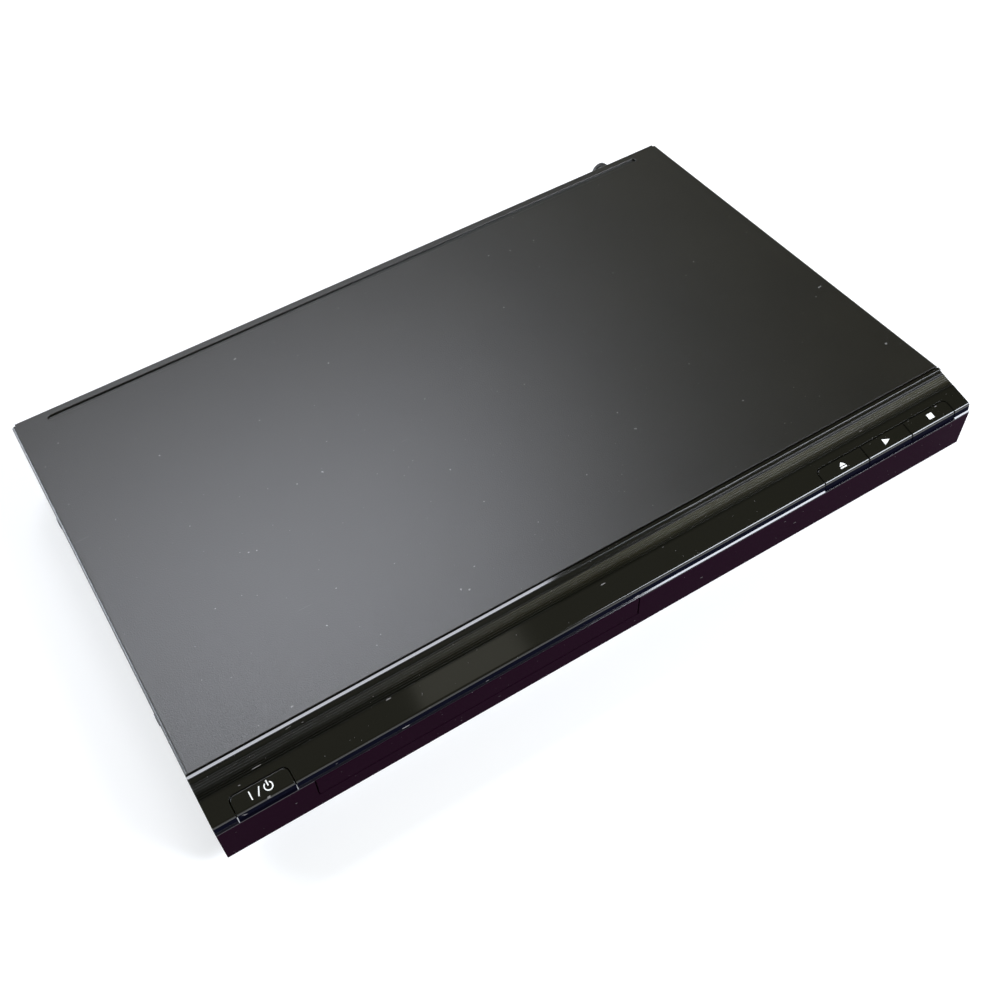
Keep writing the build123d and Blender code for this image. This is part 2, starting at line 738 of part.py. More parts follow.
with BuildPart() as motor_pulley:
    post(motor_x, loading_motor_depth, pulley_bottom, pulley_top, motor_pulley_radius)
    with BuildSketch(Plane.XY.offset(pulley_bottom + groove - 0.1)):
        with Locations((motor_x, depth(loading_motor_depth))):
            Circle(motor_pulley_radius + 1)
            Circle(motor_pulley_radius - belt_thickness, mode=Mode.SUBTRACT)
    extrude(amount=belt_width + 0.2, mode=Mode.SUBTRACT)
    post(motor_x, loading_motor_depth, pulley_bottom, pulley_top, shaft_radius + running_gap, Mode.SUBTRACT)
motor_pulley.part.label = "motor_pulley"

# the belt lies in both grooves: two arcs and two straight runs
belt_near = Vector(motor_x, depth(loading_motor_depth))
belt_far = Vector(pulley_gear_x, depth(tray_gear_depth))
belt_run = (belt_near - belt_far).length
belt_turn = atan2(belt_near.Y - belt_far.Y, belt_near.X - belt_far.X)


def belt_loop(large, small):
    # the outline round two circles that a belt of these two radii makes
    slope = acos((large - small) / belt_run)
    points = []
    for centre, radius, middle, half in ((belt_far, large, belt_turn + pi, pi - slope),
                                         (belt_near, small, belt_turn, slope)):
        angles = [middle + half * step for step in (-1, 0, 1)]
        points.append([(centre.X + radius * cos(angle), centre.Y + radius * sin(angle)) for angle in angles])
    with BuildLine() as loop:
        ThreePointArc(*points[0])
        Line(points[0][2], points[1][0])
        ThreePointArc(*points[1])
        Line(points[1][2], points[0][0])
    make_face(loop.edges())


with BuildPart() as drive_belt:
    with BuildSketch(Plane.XY.offset(pulley_bottom + groove)):
        belt_loop(pulley_radius, motor_pulley_radius)
    extrude(amount=belt_width)
    with BuildSketch(Plane.XY.offset(pulley_bottom + groove)):
        belt_loop(pulley_radius - belt_thickness + running_gap,
                  motor_pulley_radius - belt_thickness + running_gap)
    extrude(amount=belt_width, mode=Mode.SUBTRACT)
drive_belt.part.label = "drive_belt"

with BuildPart() as loading_motor:
    post(motor_x, loading_motor_depth, motor_top - loading_motor_height, motor_top, loading_motor_radius)
    rims = loading_motor.edges().filter_by(GeomType.CIRCLE)
    fillet(rims, 0.8)
    post(motor_x, loading_motor_depth, motor_top, motor_top + 0.2, 3.0)
    post(motor_x, loading_motor_depth, motor_top, pulley_top - 0.2, shaft_radius)
loading_motor.part.label = "loading_motor"

# traverse: it hinges at its rear, and its front rides on the cam slide
deck_plane = Plane(origin=(loader_x, depth(pivot_depth), pivot_height), x_dir=(1, 0, 0),
                   z_dir=(0, -sin(tilt), cos(tilt)))


def deck_level(height):
    # a sketch plane of the traverse: its heights and depths are those of the lifted, level traverse
    return deck_plane.offset(height - pivot_height)


def deck_place(x, distance):
    # a place on such a sketch plane
    return (x, distance - pivot_depth)


def deck_spot(x, distance, height):
    # the same place as a location, at a height of the lifted traverse
    return deck_plane.location * Location((x, distance - pivot_depth, height - pivot_height))


def deck_block(x_from, x_to, near, far, z_low, z_high, mode=Mode.ADD):
    # a square block of the traverse, its sides counted from the loader's middle
    with Locations(deck_spot((x_from + x_to) / 2, (near + far) / 2, z_low)):
        Box(abs(x_to - x_from), far - near, z_high - z_low, align=standing, mode=mode)


def deck_post(x, distance, z_low, z_high, radius, mode=Mode.ADD):
    with Locations(deck_spot(x, distance, z_low)):
        Cylinder(radius, z_high - z_low, align=standing, mode=mode)


def along_deck(x, distance, height):
    # a sketch plane across the traverse, whose outside is towards the rear
    start = deck_plane.from_local_coords(Vector(x, distance - pivot_depth, height - pivot_height))
    return Plane(origin=start, x_dir=(-1, 0, 0), z_dir=(0, cos(tilt), sin(tilt)))


def beside_deck(x, distance, height):
    # a sketch plane along the traverse, whose outside is to the right
    start = deck_plane.from_local_coords(Vector(x, distance - pivot_depth, height - pivot_height))
    return Plane(origin=start, x_dir=(0, cos(tilt), sin(tilt)), z_dir=(1, 0, 0))


sub_inner = sub_outer / 2 - sub_wall
sub_top = sub_bottom + sub_height
sub_rear_wall = 12.0
damper_ledge = deck_bottom - 1.4
dampers = [(side * damper_x, place) for side in (-1, 1) for place in (damper_front, damper_rear)]
with BuildPart() as sub_chassis:
    deck_block(-sub_outer / 2, sub_outer / 2, sub_front, sub_rear, sub_bottom, sub_top)
    deck_block(-sub_inner, sub_inner, sub_front + sub_wall, sub_rear - sub_rear_wall, sub_bottom, sub_top,
               Mode.SUBTRACT)
    # hollow underside of the rear beam
    deck_block(-sub_inner, sub_inner, sub_rear - sub_rear_wall + 2, sub_rear - 2, sub_bottom, sub_top - 2,
               Mode.SUBTRACT)
    for x, place in dampers:
        side = 1 if x > 0 else -1
        deck_block(x - side * damper_radius, side * sub_inner, place - damper_radius, place + damper_radius,
                   sub_bottom, damper_ledge)
        deck_post(x, place, sub_bottom, damper_ledge, screw_radius + screw_clearance, Mode.SUBTRACT)
    for side in (-1, 1):
        inner = side * sub_outer / 2
        with BuildSketch(beside_deck(inner, pivot_depth, pivot_height)):
            Circle(pivot_pin_radius)
        extrude(amount=side * (bearing_inner + bearing_wall - sub_outer / 2 - 0.2))
        with BuildSketch(beside_deck(inner - side * sub_wall, pivot_depth, pivot_height)):
            Circle(pivot_pin_radius + 1.2)
        extrude(amount=side * sub_wall)
    with BuildSketch(along_deck(0, sub_front + 1, cam_pin_height)):
        Circle(cam_pin_radius)
    extrude(amount=-cam_pin_length - 1)
sub_chassis.part.label = "sub_chassis"

# cam slide: the traverse's front pin climbs its sloping slot
pin_middle = (cam_near + cam_far) / 2 - pivot_depth
pin_low = pivot_height + pin_middle * sin(tilt) + (cam_pin_height - pivot_height) * cos(tilt)
cam_rise = cam_pin_height - pin_low
with BuildPart() as cam_slider:
    block(loader_x - cam_left, loader_x - cam_left + cam_length, cam_near, cam_far, cam_bottom, cam_top)
    chamfer(cam_slider.edges().filter_by(Axis.Y), 1.2)
    with BuildSketch(facing_front(cam_far)):
        with Locations((loader_x - cam_travel / 2, pin_low + cam_rise / 2)):
            SlotCenterToCenter(sqrt(cam_travel**2 + cam_rise**2), 2 * (cam_pin_radius + 0.3),
                               rotation=-degrees(atan2(cam_rise, cam_travel)))
    extrude(amount=cam_thickness, mode=Mode.SUBTRACT)
    block(loader_x - cam_left, loader_x - cam_left + cam_length, cam_near - cam_foot, cam_near,
          frame_deck + 0.3, frame_deck + 1.7)
cam_slider.part.label = "cam_slider"

# optical deck on its four rubber dampers
deck_front = sub_front + sub_wall + deck_margin
deck_rear = sub_rear - sub_rear_wall - deck_margin
deck_top = deck_bottom + deck_thickness
window_half = pickup_width / 2 + 1.4
neck_radius = damper_radius - 1.6
with BuildPart() as optical_deck:
    deck_block(-deck_width / 2, deck_width / 2, deck_front, deck_rear, deck_bottom, deck_top)
    deck_block(-window_half, window_half, rod_front - 4, rod_rear + 1, deck_bottom, deck_top, Mode.SUBTRACT)
    for x, place in dampers:
        deck_post(x, place, deck_bottom, deck_top, neck_radius + 0.1, Mode.SUBTRACT)
    deck_post(0, spindle_depth, deck_bottom, deck_top, shaft_radius + 1.5, Mode.SUBTRACT)
    # holders of the guide rods
    for side in (-1, 1):
        rod_x = side * rod_spacing / 2
        for place in (rod_front - 2, rod_rear - 1):
            deck_block(rod_x - 1.9, rod_x + 1.9, place, place + 3, deck_top, rod_height + rod_radius + 0.8)
        with BuildSketch(along_deck(rod_x, rod_front - 2, rod_height)):
            Circle(rod_radius + running_gap)
        extrude(amount=rod_rear - rod_front + 4, mode=Mode.SUBTRACT)
    # pin of the sled gear and the hole over the sled motor
    sled_small_pitch = sled_module * sled_small_teeth / 2
    sled_gear_pitch = sled_module * sled_gear_teeth / 2
    sled_pinion_pitch = sled_module * sled_pinion_teeth / 2
    sled_gear_x = sled_rack_x + sled_small_pitch + mesh_gap
    sled_pinion_x = sled_gear_x + 1.4
    sled_reach = sled_gear_pitch + sled_pinion_pitch + mesh_gap
    sled_pinion_depth = sled_gear_depth + sqrt(sled_reach**2 - (sled_pinion_x - sled_gear_x)**2)
    sled_gear_top = rod_height + rod_radius + 0.4
    deck_post(sled_gear_x, sled_gear_depth, deck_top, sled_gear_top - 0.1, sled_gear_pin)
    deck_post(sled_pinion_x, sled_pinion_depth, deck_bottom, deck_top, sled_pinion_pitch, Mode.SUBTRACT)
optical_deck.part.label = "optical_deck"

with BuildPart() as rubber_dampers:
    for x, place in dampers:
        deck_post(x, place, damper_ledge, damper_ledge + damper_height, damper_radius)
        with BuildSketch(deck_level(deck_bottom - 0.05)):
            with Locations(deck_place(x, place)):
                Circle(damper_radius + 1)
                Circle(neck_radius, mode=Mode.SUBTRACT)
        extrude(amount=deck_thickness + 0.1, mode=Mode.SUBTRACT)
        deck_post(x, place, damper_ledge, damper_ledge + damper_height, screw_radius + screw_clearance,
                  Mode.SUBTRACT)
rubber_dampers.part.label = "rubber_dampers"

with BuildPart() as damper_screws:
    for x, place in dampers:
        seat = deck_spot(x, place, damper_ledge + damper_height).position
        screw(Plane(origin=seat, x_dir=(1, 0, 0), z_dir=deck_plane.z_dir), damper_height + 0.8)
damper_screws.part.label = "damper_screws"

table_under = table_height - pad_thickness - table_thickness
with BuildPart() as spindle_motor:
    deck_post(0, spindle_depth, deck_top, table_under - 0.6, spindle_motor_radius)
    fillet(spindle_motor.edges().filter_by(GeomType.CIRCLE).sort_by(Axis.Z)[-1], 0.8)
    deck_post(0, spindle_depth, deck_top, table_under, shaft_radius + running_gap, Mode.SUBTRACT)
spindle_motor.part.label = "spindle_motor"

with BuildPart() as spindle_shaft:
    deck_post(0, spindle_depth, deck_bottom - 0.4, table_height + cone_height - 0.6, shaft_radius)
spindle_shaft.part.label = "spindle_shaft"

with BuildPart() as turntable:
    deck_post(0, spindle_depth, table_under, table_under + table_thickness, table_radius)
    with BuildSketch(deck_level(table_under + table_thickness)):
        with Locations(deck_place(0, spindle_depth)):
            Circle(disc_hole_radius - 0.1)
    extrude(amount=pad_thickness + 0.2)
    with BuildSketch(deck_level(table_height + 0.2)):
        with Locations(deck_place(0, spindle_depth)):
            Circle(disc_hole_radius - 0.1)
    extrude(amount=cone_height - 0.2, taper=24)
    deck_post(0, spindle_depth, table_under, table_height + cone_height, shaft_radius, Mode.SUBTRACT)
turntable.part.label = "turntable"

with BuildPart() as turntable_pad:
    deck_post(0, spindle_depth, table_height - pad_thickness, table_height, table_radius - 0.4)
    deck_post(0, spindle_depth, table_height - pad_thickness, table_height, table_radius - 0.4 - pad_width,
              Mode.SUBTRACT)
turntable_pad.part.label = "turntable_pad"

with BuildPart() as guide_rods:
    for side in (-1, 1):
        with BuildSketch(along_deck(side * rod_spacing / 2, rod_front - 1.6, rod_height)):
            Circle(rod_radius)
        extrude(amount=rod_rear - rod_front + 3.2)
guide_rods.part.label = "guide_rods"

# optical pickup: it rides on the two rods and carries the sled's rack
pickup_middle = spindle_depth + pickup_start
pickup_near = pickup_middle - pickup_nose
pickup_far = pickup_near + pickup_length
pickup_top = rod_height - 0.2
guard_bottom = pickup_top + 2.2
lens_bottom = guard_bottom + 1.8
bush_out = rod_spacing / 2 + rod_radius + 1.1
bush_low = deck_top + 0.4
bush_top = rod_height + rod_radius + 0.3
rack_low = bush_low + 0.3
rack_top = rod_height + 0.2
with BuildPart() as optical_pickup:
    deck_block(-pickup_width / 2, pickup_width / 2, pickup_near, pickup_far, pickup_bottom, pickup_top)
    deck_block(-12, 12, pickup_near + 0.6, pickup_near + 23, pickup_top, guard_bottom)
    deck_post(0, pickup_middle, guard_bottom, lens_bottom, lens_radius + 0.5)
    # bearings on the main rod, and a fork on the other
    for place in (pickup_near + 1, pickup_far - 6):
        deck_block(-bush_out, -pickup_width / 2, place, place + 5, bush_low, bush_top)
    deck_block(pickup_width / 2, bush_out, pickup_middle - 6, pickup_middle + 6, bush_low, bush_top)
    for side in (-1, 1):
        with BuildSketch(along_deck(side * rod_spacing / 2, pickup_near, rod_height)):
            Circle(rod_radius + running_gap)
        extrude(amount=pickup_length, mode=Mode.SUBTRACT)
    # rack on an arm beside the fork
    rack_start = sled_gear_depth - pickup_travel - 5
    rack_end = sled_gear_depth + 5
    rack_back = 2.6
    with BuildSketch(deck_level(rack_low)):
        rack = rack_outline(rack_start, rack_end, sled_gear_depth, sled_module, rack_back, sled_rack_x)
        polygon([(x, place - pivot_depth) for x, place in rack])
    extrude(amount=rack_top - rack_low)
    deck_block(bush_out, sled_rack_x - rack_back, pickup_middle - 6, pickup_middle + 6, rack_low, rack_top)
optical_pickup.part.label = "optical_pickup"

with BuildPart() as lens_guard:
    deck_block(-13, 13, pickup_near + 0.3, pickup_near + 24, guard_bottom, lens_bottom + 0.2)
    fillet(lens_guard.edges().filter_by(lambda e: abs(e.tangent_at(0).dot(deck_plane.z_dir)) > 0.99), 2)
    deck_post(0, pickup_middle, guard_bottom, lens_bottom + 0.2, lens_radius + 1.6, Mode.SUBTRACT)
    for slot_x in (-9.2, 9.2):
        deck_block(slot_x - 1.4, slot_x + 1.4, pickup_middle - 6, pickup_middle + 6, guard_bottom,
                   lens_bottom + 0.2, Mode.SUBTRACT)
lens_guard.part.label = "lens_guard"

with BuildPart() as objective_lens:
    deck_post(0, pickup_middle, lens_bottom, lens_bottom + 1.0, lens_radius)
    fillet(objective_lens.edges().filter_by(GeomType.CIRCLE).sort_by(Axis.Z)[-1], 0.7)
objective_lens.part.label = "objective_lens"

# sled gears and motor
sled_gear_at = deck_place(sled_gear_x, sled_gear_depth)
sled_pinion_at = deck_place(sled_pinion_x, sled_pinion_depth)
mesh_turn = degrees(atan2(sled_pinion_depth - sled_gear_depth, sled_pinion_x - sled_gear_x))
wheel_low = rack_top + 0.35
wheel_top = wheel_low + 1.2
with BuildPart() as sled_gear:
    with BuildSketch(deck_level(rack_low)):
        polygon(gear_outline(sled_small_teeth, sled_module, 180, sled_gear_at))
    extrude(amount=wheel_low - rack_low)
    with BuildSketch(deck_level(wheel_low)):
        polygon(gear_outline(sled_gear_teeth, sled_module, mesh_turn, sled_gear_at))
    extrude(amount=wheel_top - wheel_low)
    deck_post(sled_gear_x, sled_gear_depth, rack_low, wheel_top, sled_gear_pin + running_gap, Mode.SUBTRACT)
sled_gear.part.label = "sled_gear"

sled_pinion_turn = mesh_turn + 180 + 180 / sled_pinion_teeth
with BuildPart() as sled_pinion:
    with BuildSketch(deck_level(wheel_low - 0.6)):
        polygon(gear_outline(sled_pinion_teeth, sled_module, sled_pinion_turn, sled_pinion_at))
    extrude(amount=wheel_top - wheel_low + 0.9)
    deck_post(sled_pinion_x, sled_pinion_depth, wheel_low - 0.6, wheel_top + 0.3,
              sled_shaft_radius + running_gap, Mode.SUBTRACT)
sled_pinion.part.label = "sled_pinion"

with BuildPart() as sled_motor:
    deck_post(sled_pinion_x, sled_pinion_depth, deck_bottom - sled_motor_height, deck_bottom,
              sled_motor_radius)
    fillet(sled_motor.edges().filter_by(GeomType.CIRCLE).sort_by(Axis.Z)[0], 0.6)
    deck_post(sled_pinion_x, sled_pinion_depth, deck_bottom, wheel_top + 0.2, sled_shaft_radius)
sled_motor.part.label = "sled_motor"

# clamp bridge with the clamper in its middle
clamp_top = bridge_height + bridge_thickness + moving_gap
with BuildPart() as clamp_bridge:
    bridge_reach = frame_side + bridge_pad
    near = spindle_depth - bridge_depth / 2
    far = spindle_depth + bridge_depth / 2
    block(loader_x - bridge_reach, loader_x + bridge_reach, near, far, bridge_height,
          bridge_height + bridge_thickness)
    fillet(clamp_bridge.edges().filter_by(Axis.Z), 2)
    # flanges turned up along both long sides
    for place in (near, far - bridge_thickness):
        block(loader_x - bridge_reach + 10, loader_x + bridge_reach - 10, place, place + bridge_thickness,
              bridge_height + bridge_thickness, bridge_height + bridge_thickness + 1.8)
    post(loader_x, spindle_depth, bridge_height, bridge_height + bridge_thickness, clamp_neck_radius + 1,
         Mode.SUBTRACT)
    for side in (-1, 1):
        for screw_y in bridge_screws_y:
            post(loader_x + side * bridge_screw_x, screw_y, bridge_height, bridge_height + bridge_thickness,
                 screw_radius + screw_clearance, Mode.SUBTRACT)
clamp_bridge.part.label = "clamp_bridge"

with BuildPart() as disc_clamper:
    post(loader_x, spindle_depth, clamp_height, clamp_height + clamp_plate, clamp_radius)
    post(loader_x, spindle_depth, clamp_height + clamp_plate, clamp_top, clamp_neck_radius)
    post(loader_x, spindle_depth, clamp_top, clamp_top + clamp_flange, clamp_radius - 1)
    # hollow over the turntable's cone, and a ring that presses on the disc
    post(loader_x, spindle_depth, clamp_height, clamp_height + 1.8, disc_hole_radius + 0.8, Mode.SUBTRACT)
    with BuildSketch(Plane.XY.offset(clamp_height)):
        with Locations((loader_x, depth(spindle_depth))):
            Circle(clamp_radius - 3)
            Circle(disc_hole_radius + 2.4, mode=Mode.SUBTRACT)
    extrude(amount=0.5, mode=Mode.SUBTRACT)
disc_clamper.part.label = "disc_clamper"

with BuildPart() as clamper_yoke:
    post(loader_x, spindle_depth, clamp_top + clamp_flange, clamp_top + clamp_flange + 0.8,
         clamp_neck_radius - 1)
    chamfer(clamper_yoke.edges().filter_by(GeomType.CIRCLE).sort_by(Axis.Z)[-1], 0.25)
clamper_yoke.part.label = "clamper_yoke"

# circuit boards on the chassis posts
board_top = board_height + board_thickness
board_inset = 4.5
main_board_left = loader_x + frame_outer + main_board_gap
main_board_width = main_board_right - main_board_left
main_posts = [(x, place) for x in (main_board_left + board_inset, main_board_right - board_inset)
              for place in (main_board_front + board_inset, board_rear - board_inset - 14)]
power_posts = [(x, place) for x in (power_board_left + board_inset, power_board_right - board_inset)
               for place in (power_board_front + board_inset, board_rear - board_inset)]
board_posts = main_posts + power_posts
with BuildPart() as main_board:
    block(main_board_left, main_board_right, main_board_front, board_rear, board_height, board_top)
    for x, place in main_posts:
        screw_hole(x, place, board_height, board_top)
main_board.part.label = "main_board"

with BuildPart() as power_board:
    block(power_board_left, power_board_right, power_board_front, board_rear, board_height, board_top)
    for x, place in power_posts:
        screw_hole(x, place, board_height, board_top)
power_board.part.label = "power_board"

# chips and cans: where they stand, as shares of the board's width and length, then their own sizes
board_chip_places = [(0.49, 0.37, 24, 2.2), (0.19, 0.32, 11, 1.8), (0.78, 0.29, 10, 1.6), (0.24, 0.6, 9, 1.6),
                     (0.81, 0.54, 7, 1.5), (0.59, 0.7, 6, 1.5)]


def on_main_board(across, along):
    # the place at these shares of the main board
    return main_board_left + across * main_board_width, main_board_front + along * main_board_length


with BuildPart() as board_chips:
    for across, along, size, high in board_chip_places:
        x, place = on_main_board(across, along)
        block(x - size / 2, x + size / 2, place - size / 2, place + size / 2, board_top, board_top + high)
board_chips.part.label = "board_chips"

with BuildPart() as heat_sink:
    across, along, chip_size, chip_high = board_chip_places[0]
    sink_x, sink_place = on_main_board(across, along)
    sink_base = board_top + chip_high
    sink_size = chip_size - 2
    block(sink_x - sink_size / 2, sink_x + sink_size / 2, sink_place - sink_size / 2,
          sink_place + sink_size / 2, sink_base, sink_base + 1.6)
    fin_count = 6
    fin_step = (sink_size - 1.2) / (fin_count - 1)
    for fin in range(fin_count):
        fin_x = sink_x - sink_size / 2 + fin * fin_step
        block(fin_x, fin_x + 1.2, sink_place - sink_size / 2, sink_place + sink_size / 2, sink_base + 1.6,
              sink_base + 8)
heat_sink.part.label = "heat_sink"

board_can_places = [(0.11, 0.16, 2.5, 7), (0.22, 0.16, 2.5, 7), (0.32, 0.16, 3.2, 8), (0.91, 0.44, 3.2, 8),
                    (0.84, 0.75, 4, 9), (0.43, 0.86, 2.5, 7), (0.57, 0.86, 2.5, 7), (0.7, 0.86, 2.5, 7),
                    (0.84, 0.86, 2.5, 7)]
with BuildPart() as board_capacitors:
    for across, along, radius, high in board_can_places:
        x, place = on_main_board(across, along)
        post(x, place, board_top, board_top + high, radius)
board_capacitors.part.label = "board_capacitors"

# mains side: filter, fuse, big capacitor, transformer and the low-voltage capacitors
with BuildPart() as transformer:
    core_x = power_board_left + 28
    core_place = power_board_front + 46
    block(core_x - 12, core_x + 12, core_place - 10, core_place + 10, board_top, board_top + 2)
    block(core_x - 11, core_x + 11, core_place - 8, core_place + 8, board_top + 2, board_top + 16)
    block(core_x - 13, core_x + 13, core_place - 5, core_place + 5, board_top + 3.5, board_top + 18)
    fillet(transformer.edges().filter_by(Axis.Z), 0.8)
transformer.part.label = "transformer"

with BuildPart() as mains_capacitor:
    post(power_board_right - 10, power_board_front + 62, board_top, board_top + 20, 8)
    fillet(mains_capacitor.edges().filter_by(GeomType.CIRCLE).sort_by(Axis.Z)[-1], 1)
mains_capacitor.part.label = "mains_capacitor"

with BuildPart() as filter_capacitors:
    for x, place, radius in ((10, 16, 5), (22, 16, 5), (34, 16, 4), (45, 18, 4), (46, 30, 4)):
        post(power_board_left + x, power_board_front + place, board_top, board_top + 14, radius)
filter_capacitors.part.label = "filter_capacitors"

fuse_x = power_board_left + 10
fuse_near = board_rear - 34
with BuildPart() as fuse:
    with BuildSketch(facing_rear(fuse_x, fuse_near, board_top + 4.2)):
        Circle(2.4)
    extrude(amount=20)
    for place in (fuse_near, fuse_near + 15):
        block(fuse_x - 3, fuse_x + 3, place, place + 5, board_top, board_top + 5.2)
fuse.part.label = "fuse"

with BuildPart() as line_filter:
    block(power_board_left + 20, power_board_left + 38, board_rear - 26, board_rear - 10, board_top,
          board_top + 15)
    fillet(line_filter.edges().filter_by(Axis.Z), 1.5)
    block(power_board_left + 25, power_board_left + 33, board_rear - 21, board_rear - 15, board_top + 4,
          board_top + 15, Mode.SUBTRACT)
line_filter.part.label = "line_filter"

with BuildPart() as power_heat_sink:
    plate_place = power_board_front + 30
    block(power_board_left + 6, power_board_left + 38, plate_place - 2, plate_place, board_top,
          board_top + 20)
    for x in (power_board_left + 6, power_board_left + 36):
        block(x, x + 2, plate_place - 2, plate_place + 5, board_top, board_top + 20)
power_heat_sink.part.label = "power_heat_sink"

# rear: sockets, bushing and panel
rear_outer = body_depth - sheet - 0.1
rear_inner = rear_outer - sheet
jack_face = rear_outer + 1.2
jack_left = main_board_left + jack_inset
jack_xs = [jack_left + jack_pitch * (index + 0.5) for index in range(jack_count)]
with BuildPart() as av_jack_block:
    # one moulding for each socket, side by side
    for x in jack_xs:
        block(x - jack_width / 2, x + jack_width / 2, rear_inner - jack_depth, rear_inner, board_top,
              jack_height + 7)
    chamfer(av_jack_block.faces().group_by(Axis.Z)[-1].edges(), 0.6)
    with BuildSketch(facing_rear(0, rear_inner, 0)):
        with Locations([(-x, jack_height) for x in jack_xs]):
            Circle(jack_collar_radius)
    extrude(amount=jack_face - rear_inner)
    with BuildSketch(facing_rear(0, rear_inner - jack_neck_depth, 0)):
        with Locations([(-x, jack_height) for x in jack_xs]):
            Circle(jack_neck_radius)
    extrude(amount=jack_face - rear_inner + jack_neck_depth, mode=Mode.SUBTRACT)
av_jack_block.part.label = "av_jack_block"

with BuildPart() as jack_sleeves:
    # each sleeve stands on the block's collar, and a narrower neck goes into it
    with BuildSketch(facing_rear(0, rear_inner - jack_neck_depth, 0)):
        with Locations([(-x, jack_height) for x in jack_xs]):
            Circle(jack_neck_radius)
    extrude(amount=jack_face - rear_inner + jack_neck_depth)
    with BuildSketch(facing_rear(0, jack_face, 0)):
        with Locations([(-x, jack_height) for x in jack_xs]):
            Circle(jack_radius)
    extrude(amount=jack_length)
    with BuildSketch(facing_rear(0, jack_face + jack_length, 0)):
        with Locations([(-x, jack_height) for x in jack_xs]):
            Circle(jack_bore_radius)
    extrude(amount=-jack_bore_length, mode=Mode.SUBTRACT)
jack_sleeves.part.label = "jack_sleeves"

bushing_x = half_width - bushing_inset
bushing_plane = facing_rear(bushing_x, rear_outer, bushing_height)
bushing_end = body_depth + bushing_reach - rear_outer
bushing_inner = 6.0
with BuildPart() as cord_bushing:
    with BuildSketch(bushing_plane):
        Circle(bushing_flange)
    extrude(amount=2.0)
    with BuildSketch(bushing_plane.offset(2.0)):
        Circle(bushing_radius)
    extrude(amount=bushing_end - 2.0, taper=4)
    # ridges that let the sleeve bend
    for ring in range(3):
        with BuildSketch(bushing_plane.offset(4.0 + ring * 2.6)):
            Circle(bushing_radius + 1)
            Circle(bushing_radius - 1, mode=Mode.SUBTRACT)
        extrude(amount=1.0, mode=Mode.SUBTRACT)
    with BuildSketch(bushing_plane):
        Circle(bushing_radius - 0.2)
    extrude(amount=-sheet - bushing_inner)
    with BuildSketch(bushing_plane.offset(-sheet - bushing_inner)):
        Circle(cord_radius + 0.1)
    extrude(amount=bushing_end + sheet + bushing_inner, mode=Mode.SUBTRACT)
cord_bushing.part.label = "cord_bushing"

# case: chassis pan
pan_side = half_width - sheet - seam_gap
pan_front = chin_inset + 2.0
pan_flange_front = cover_front + tongue_length + 1.0
pan_flange_height = 16.0
foot_x = half_width - 22.0
foot_depths = (24.0, body_depth - 20.0)
foot_radius = 9.0
vent_slot = (22.0, 2.4)
rear_screws_x = (-half_width + rear_screw_insets[0], 4.0, half_width - rear_screw_insets[1])
side_screw_depths = (cover_front + side_screw_lead, body_depth - side_screw_tail)
rear_foot = 8.0
rear_foot_screws = (-half_width + foot_screw_insets[0], half_width - foot_screw_insets[1])
rear_foot_screw = rear_inner - rear_foot / 2 - 1
with BuildPart() as bottom_chassis:
    block(-pan_side, pan_side, pan_front, rear_inner - 0.1, foot_height, floor_top)
    for side in (-1, 1):
        block(side * pan_side, side * (pan_side - sheet), pan_flange_front, rear_inner - 0.1, foot_height,
              foot_height + pan_flange_height)
        block(side * pan_side, side * (pan_side - sheet), pan_front, pan_flange_front, 0, floor_top,
              Mode.SUBTRACT)
    # posts for the boards and for the loader
    for x, place in board_posts:
        post(x, place, floor_top, board_height, post_radius)
        screw_hole(x, place, foot_height, board_height)
    for ear_x, ear_depth in frame_ears:
        post(ear_x, ear_depth, floor_top, frame_floor_height, post_radius)
        screw_hole(ear_x, ear_depth, foot_height, frame_floor_height)
    for screw_x in panel_screws_x:
        screw_hole(screw_x, panel_screw_depth, foot_height, floor_top)
    for screw_x in rear_foot_screws:
        screw_hole(screw_x, rear_foot_screw, foot_height, floor_top)
    # air slots under the power board and under the main board
    with BuildSketch(Plane.XY.offset(foot_height)):
        with Locations((power_board_left + power_board_width / 2, depth(power_board_front + 47))):
            with GridLocations(vent_slot[0] + 6, 6.0, 2, 9):
                SlotOverall(*vent_slot)
        with Locations((main_board_left + main_board_width / 2, depth(main_board_front + 50))):
            with GridLocations(vent_slot[0] + 6, 6.0, 2, 6):
                SlotOverall(*vent_slot)
    extrude(amount=sheet, mode=Mode.SUBTRACT)
    # holes of the side screws
    for screw_y in side_screw_depths:
        with BuildSketch(facing_right(-half_width)):
            with Locations((depth(screw_y), side_screw_height)):
                Circle(screw_radius + screw_clearance)
        extrude(amount=body_width, mode=Mode.SUBTRACT)
bottom_chassis.part.label = "bottom_chassis"

rear_panel_top = body_height - strip_drop - sheet - seam_gap
with BuildPart() as rear_panel:
    block(-pan_side, pan_side, rear_inner, rear_outer, foot_height, rear_panel_top)
    block(-pan_side + 2, pan_side - 2, rear_inner - rear_foot, rear_inner, floor_top, floor_top + sheet)
    block(-pan_side + 2, pan_side - 2, rear_inner - 4, rear_inner, rear_panel_top - 1.1 - sheet,
          rear_panel_top - 1.1)
    with BuildSketch(facing_front(rear_outer)):
        with Locations([(x, jack_height) for x in jack_xs]):
            Circle(jack_collar_radius + 0.1)
        with Locations((bushing_x, bushing_height)):
            Circle(bushing_radius - 0.1)
        with Locations([(x, rear_screw_height) for x in rear_screws_x]):
            Circle(screw_radius + screw_clearance)
    extrude(amount=sheet, mode=Mode.SUBTRACT)
    for screw_x in rear_foot_screws:
        screw_hole(screw_x, rear_foot_screw, foot_height, floor_top + sheet)
rear_panel.part.label = "rear_panel"

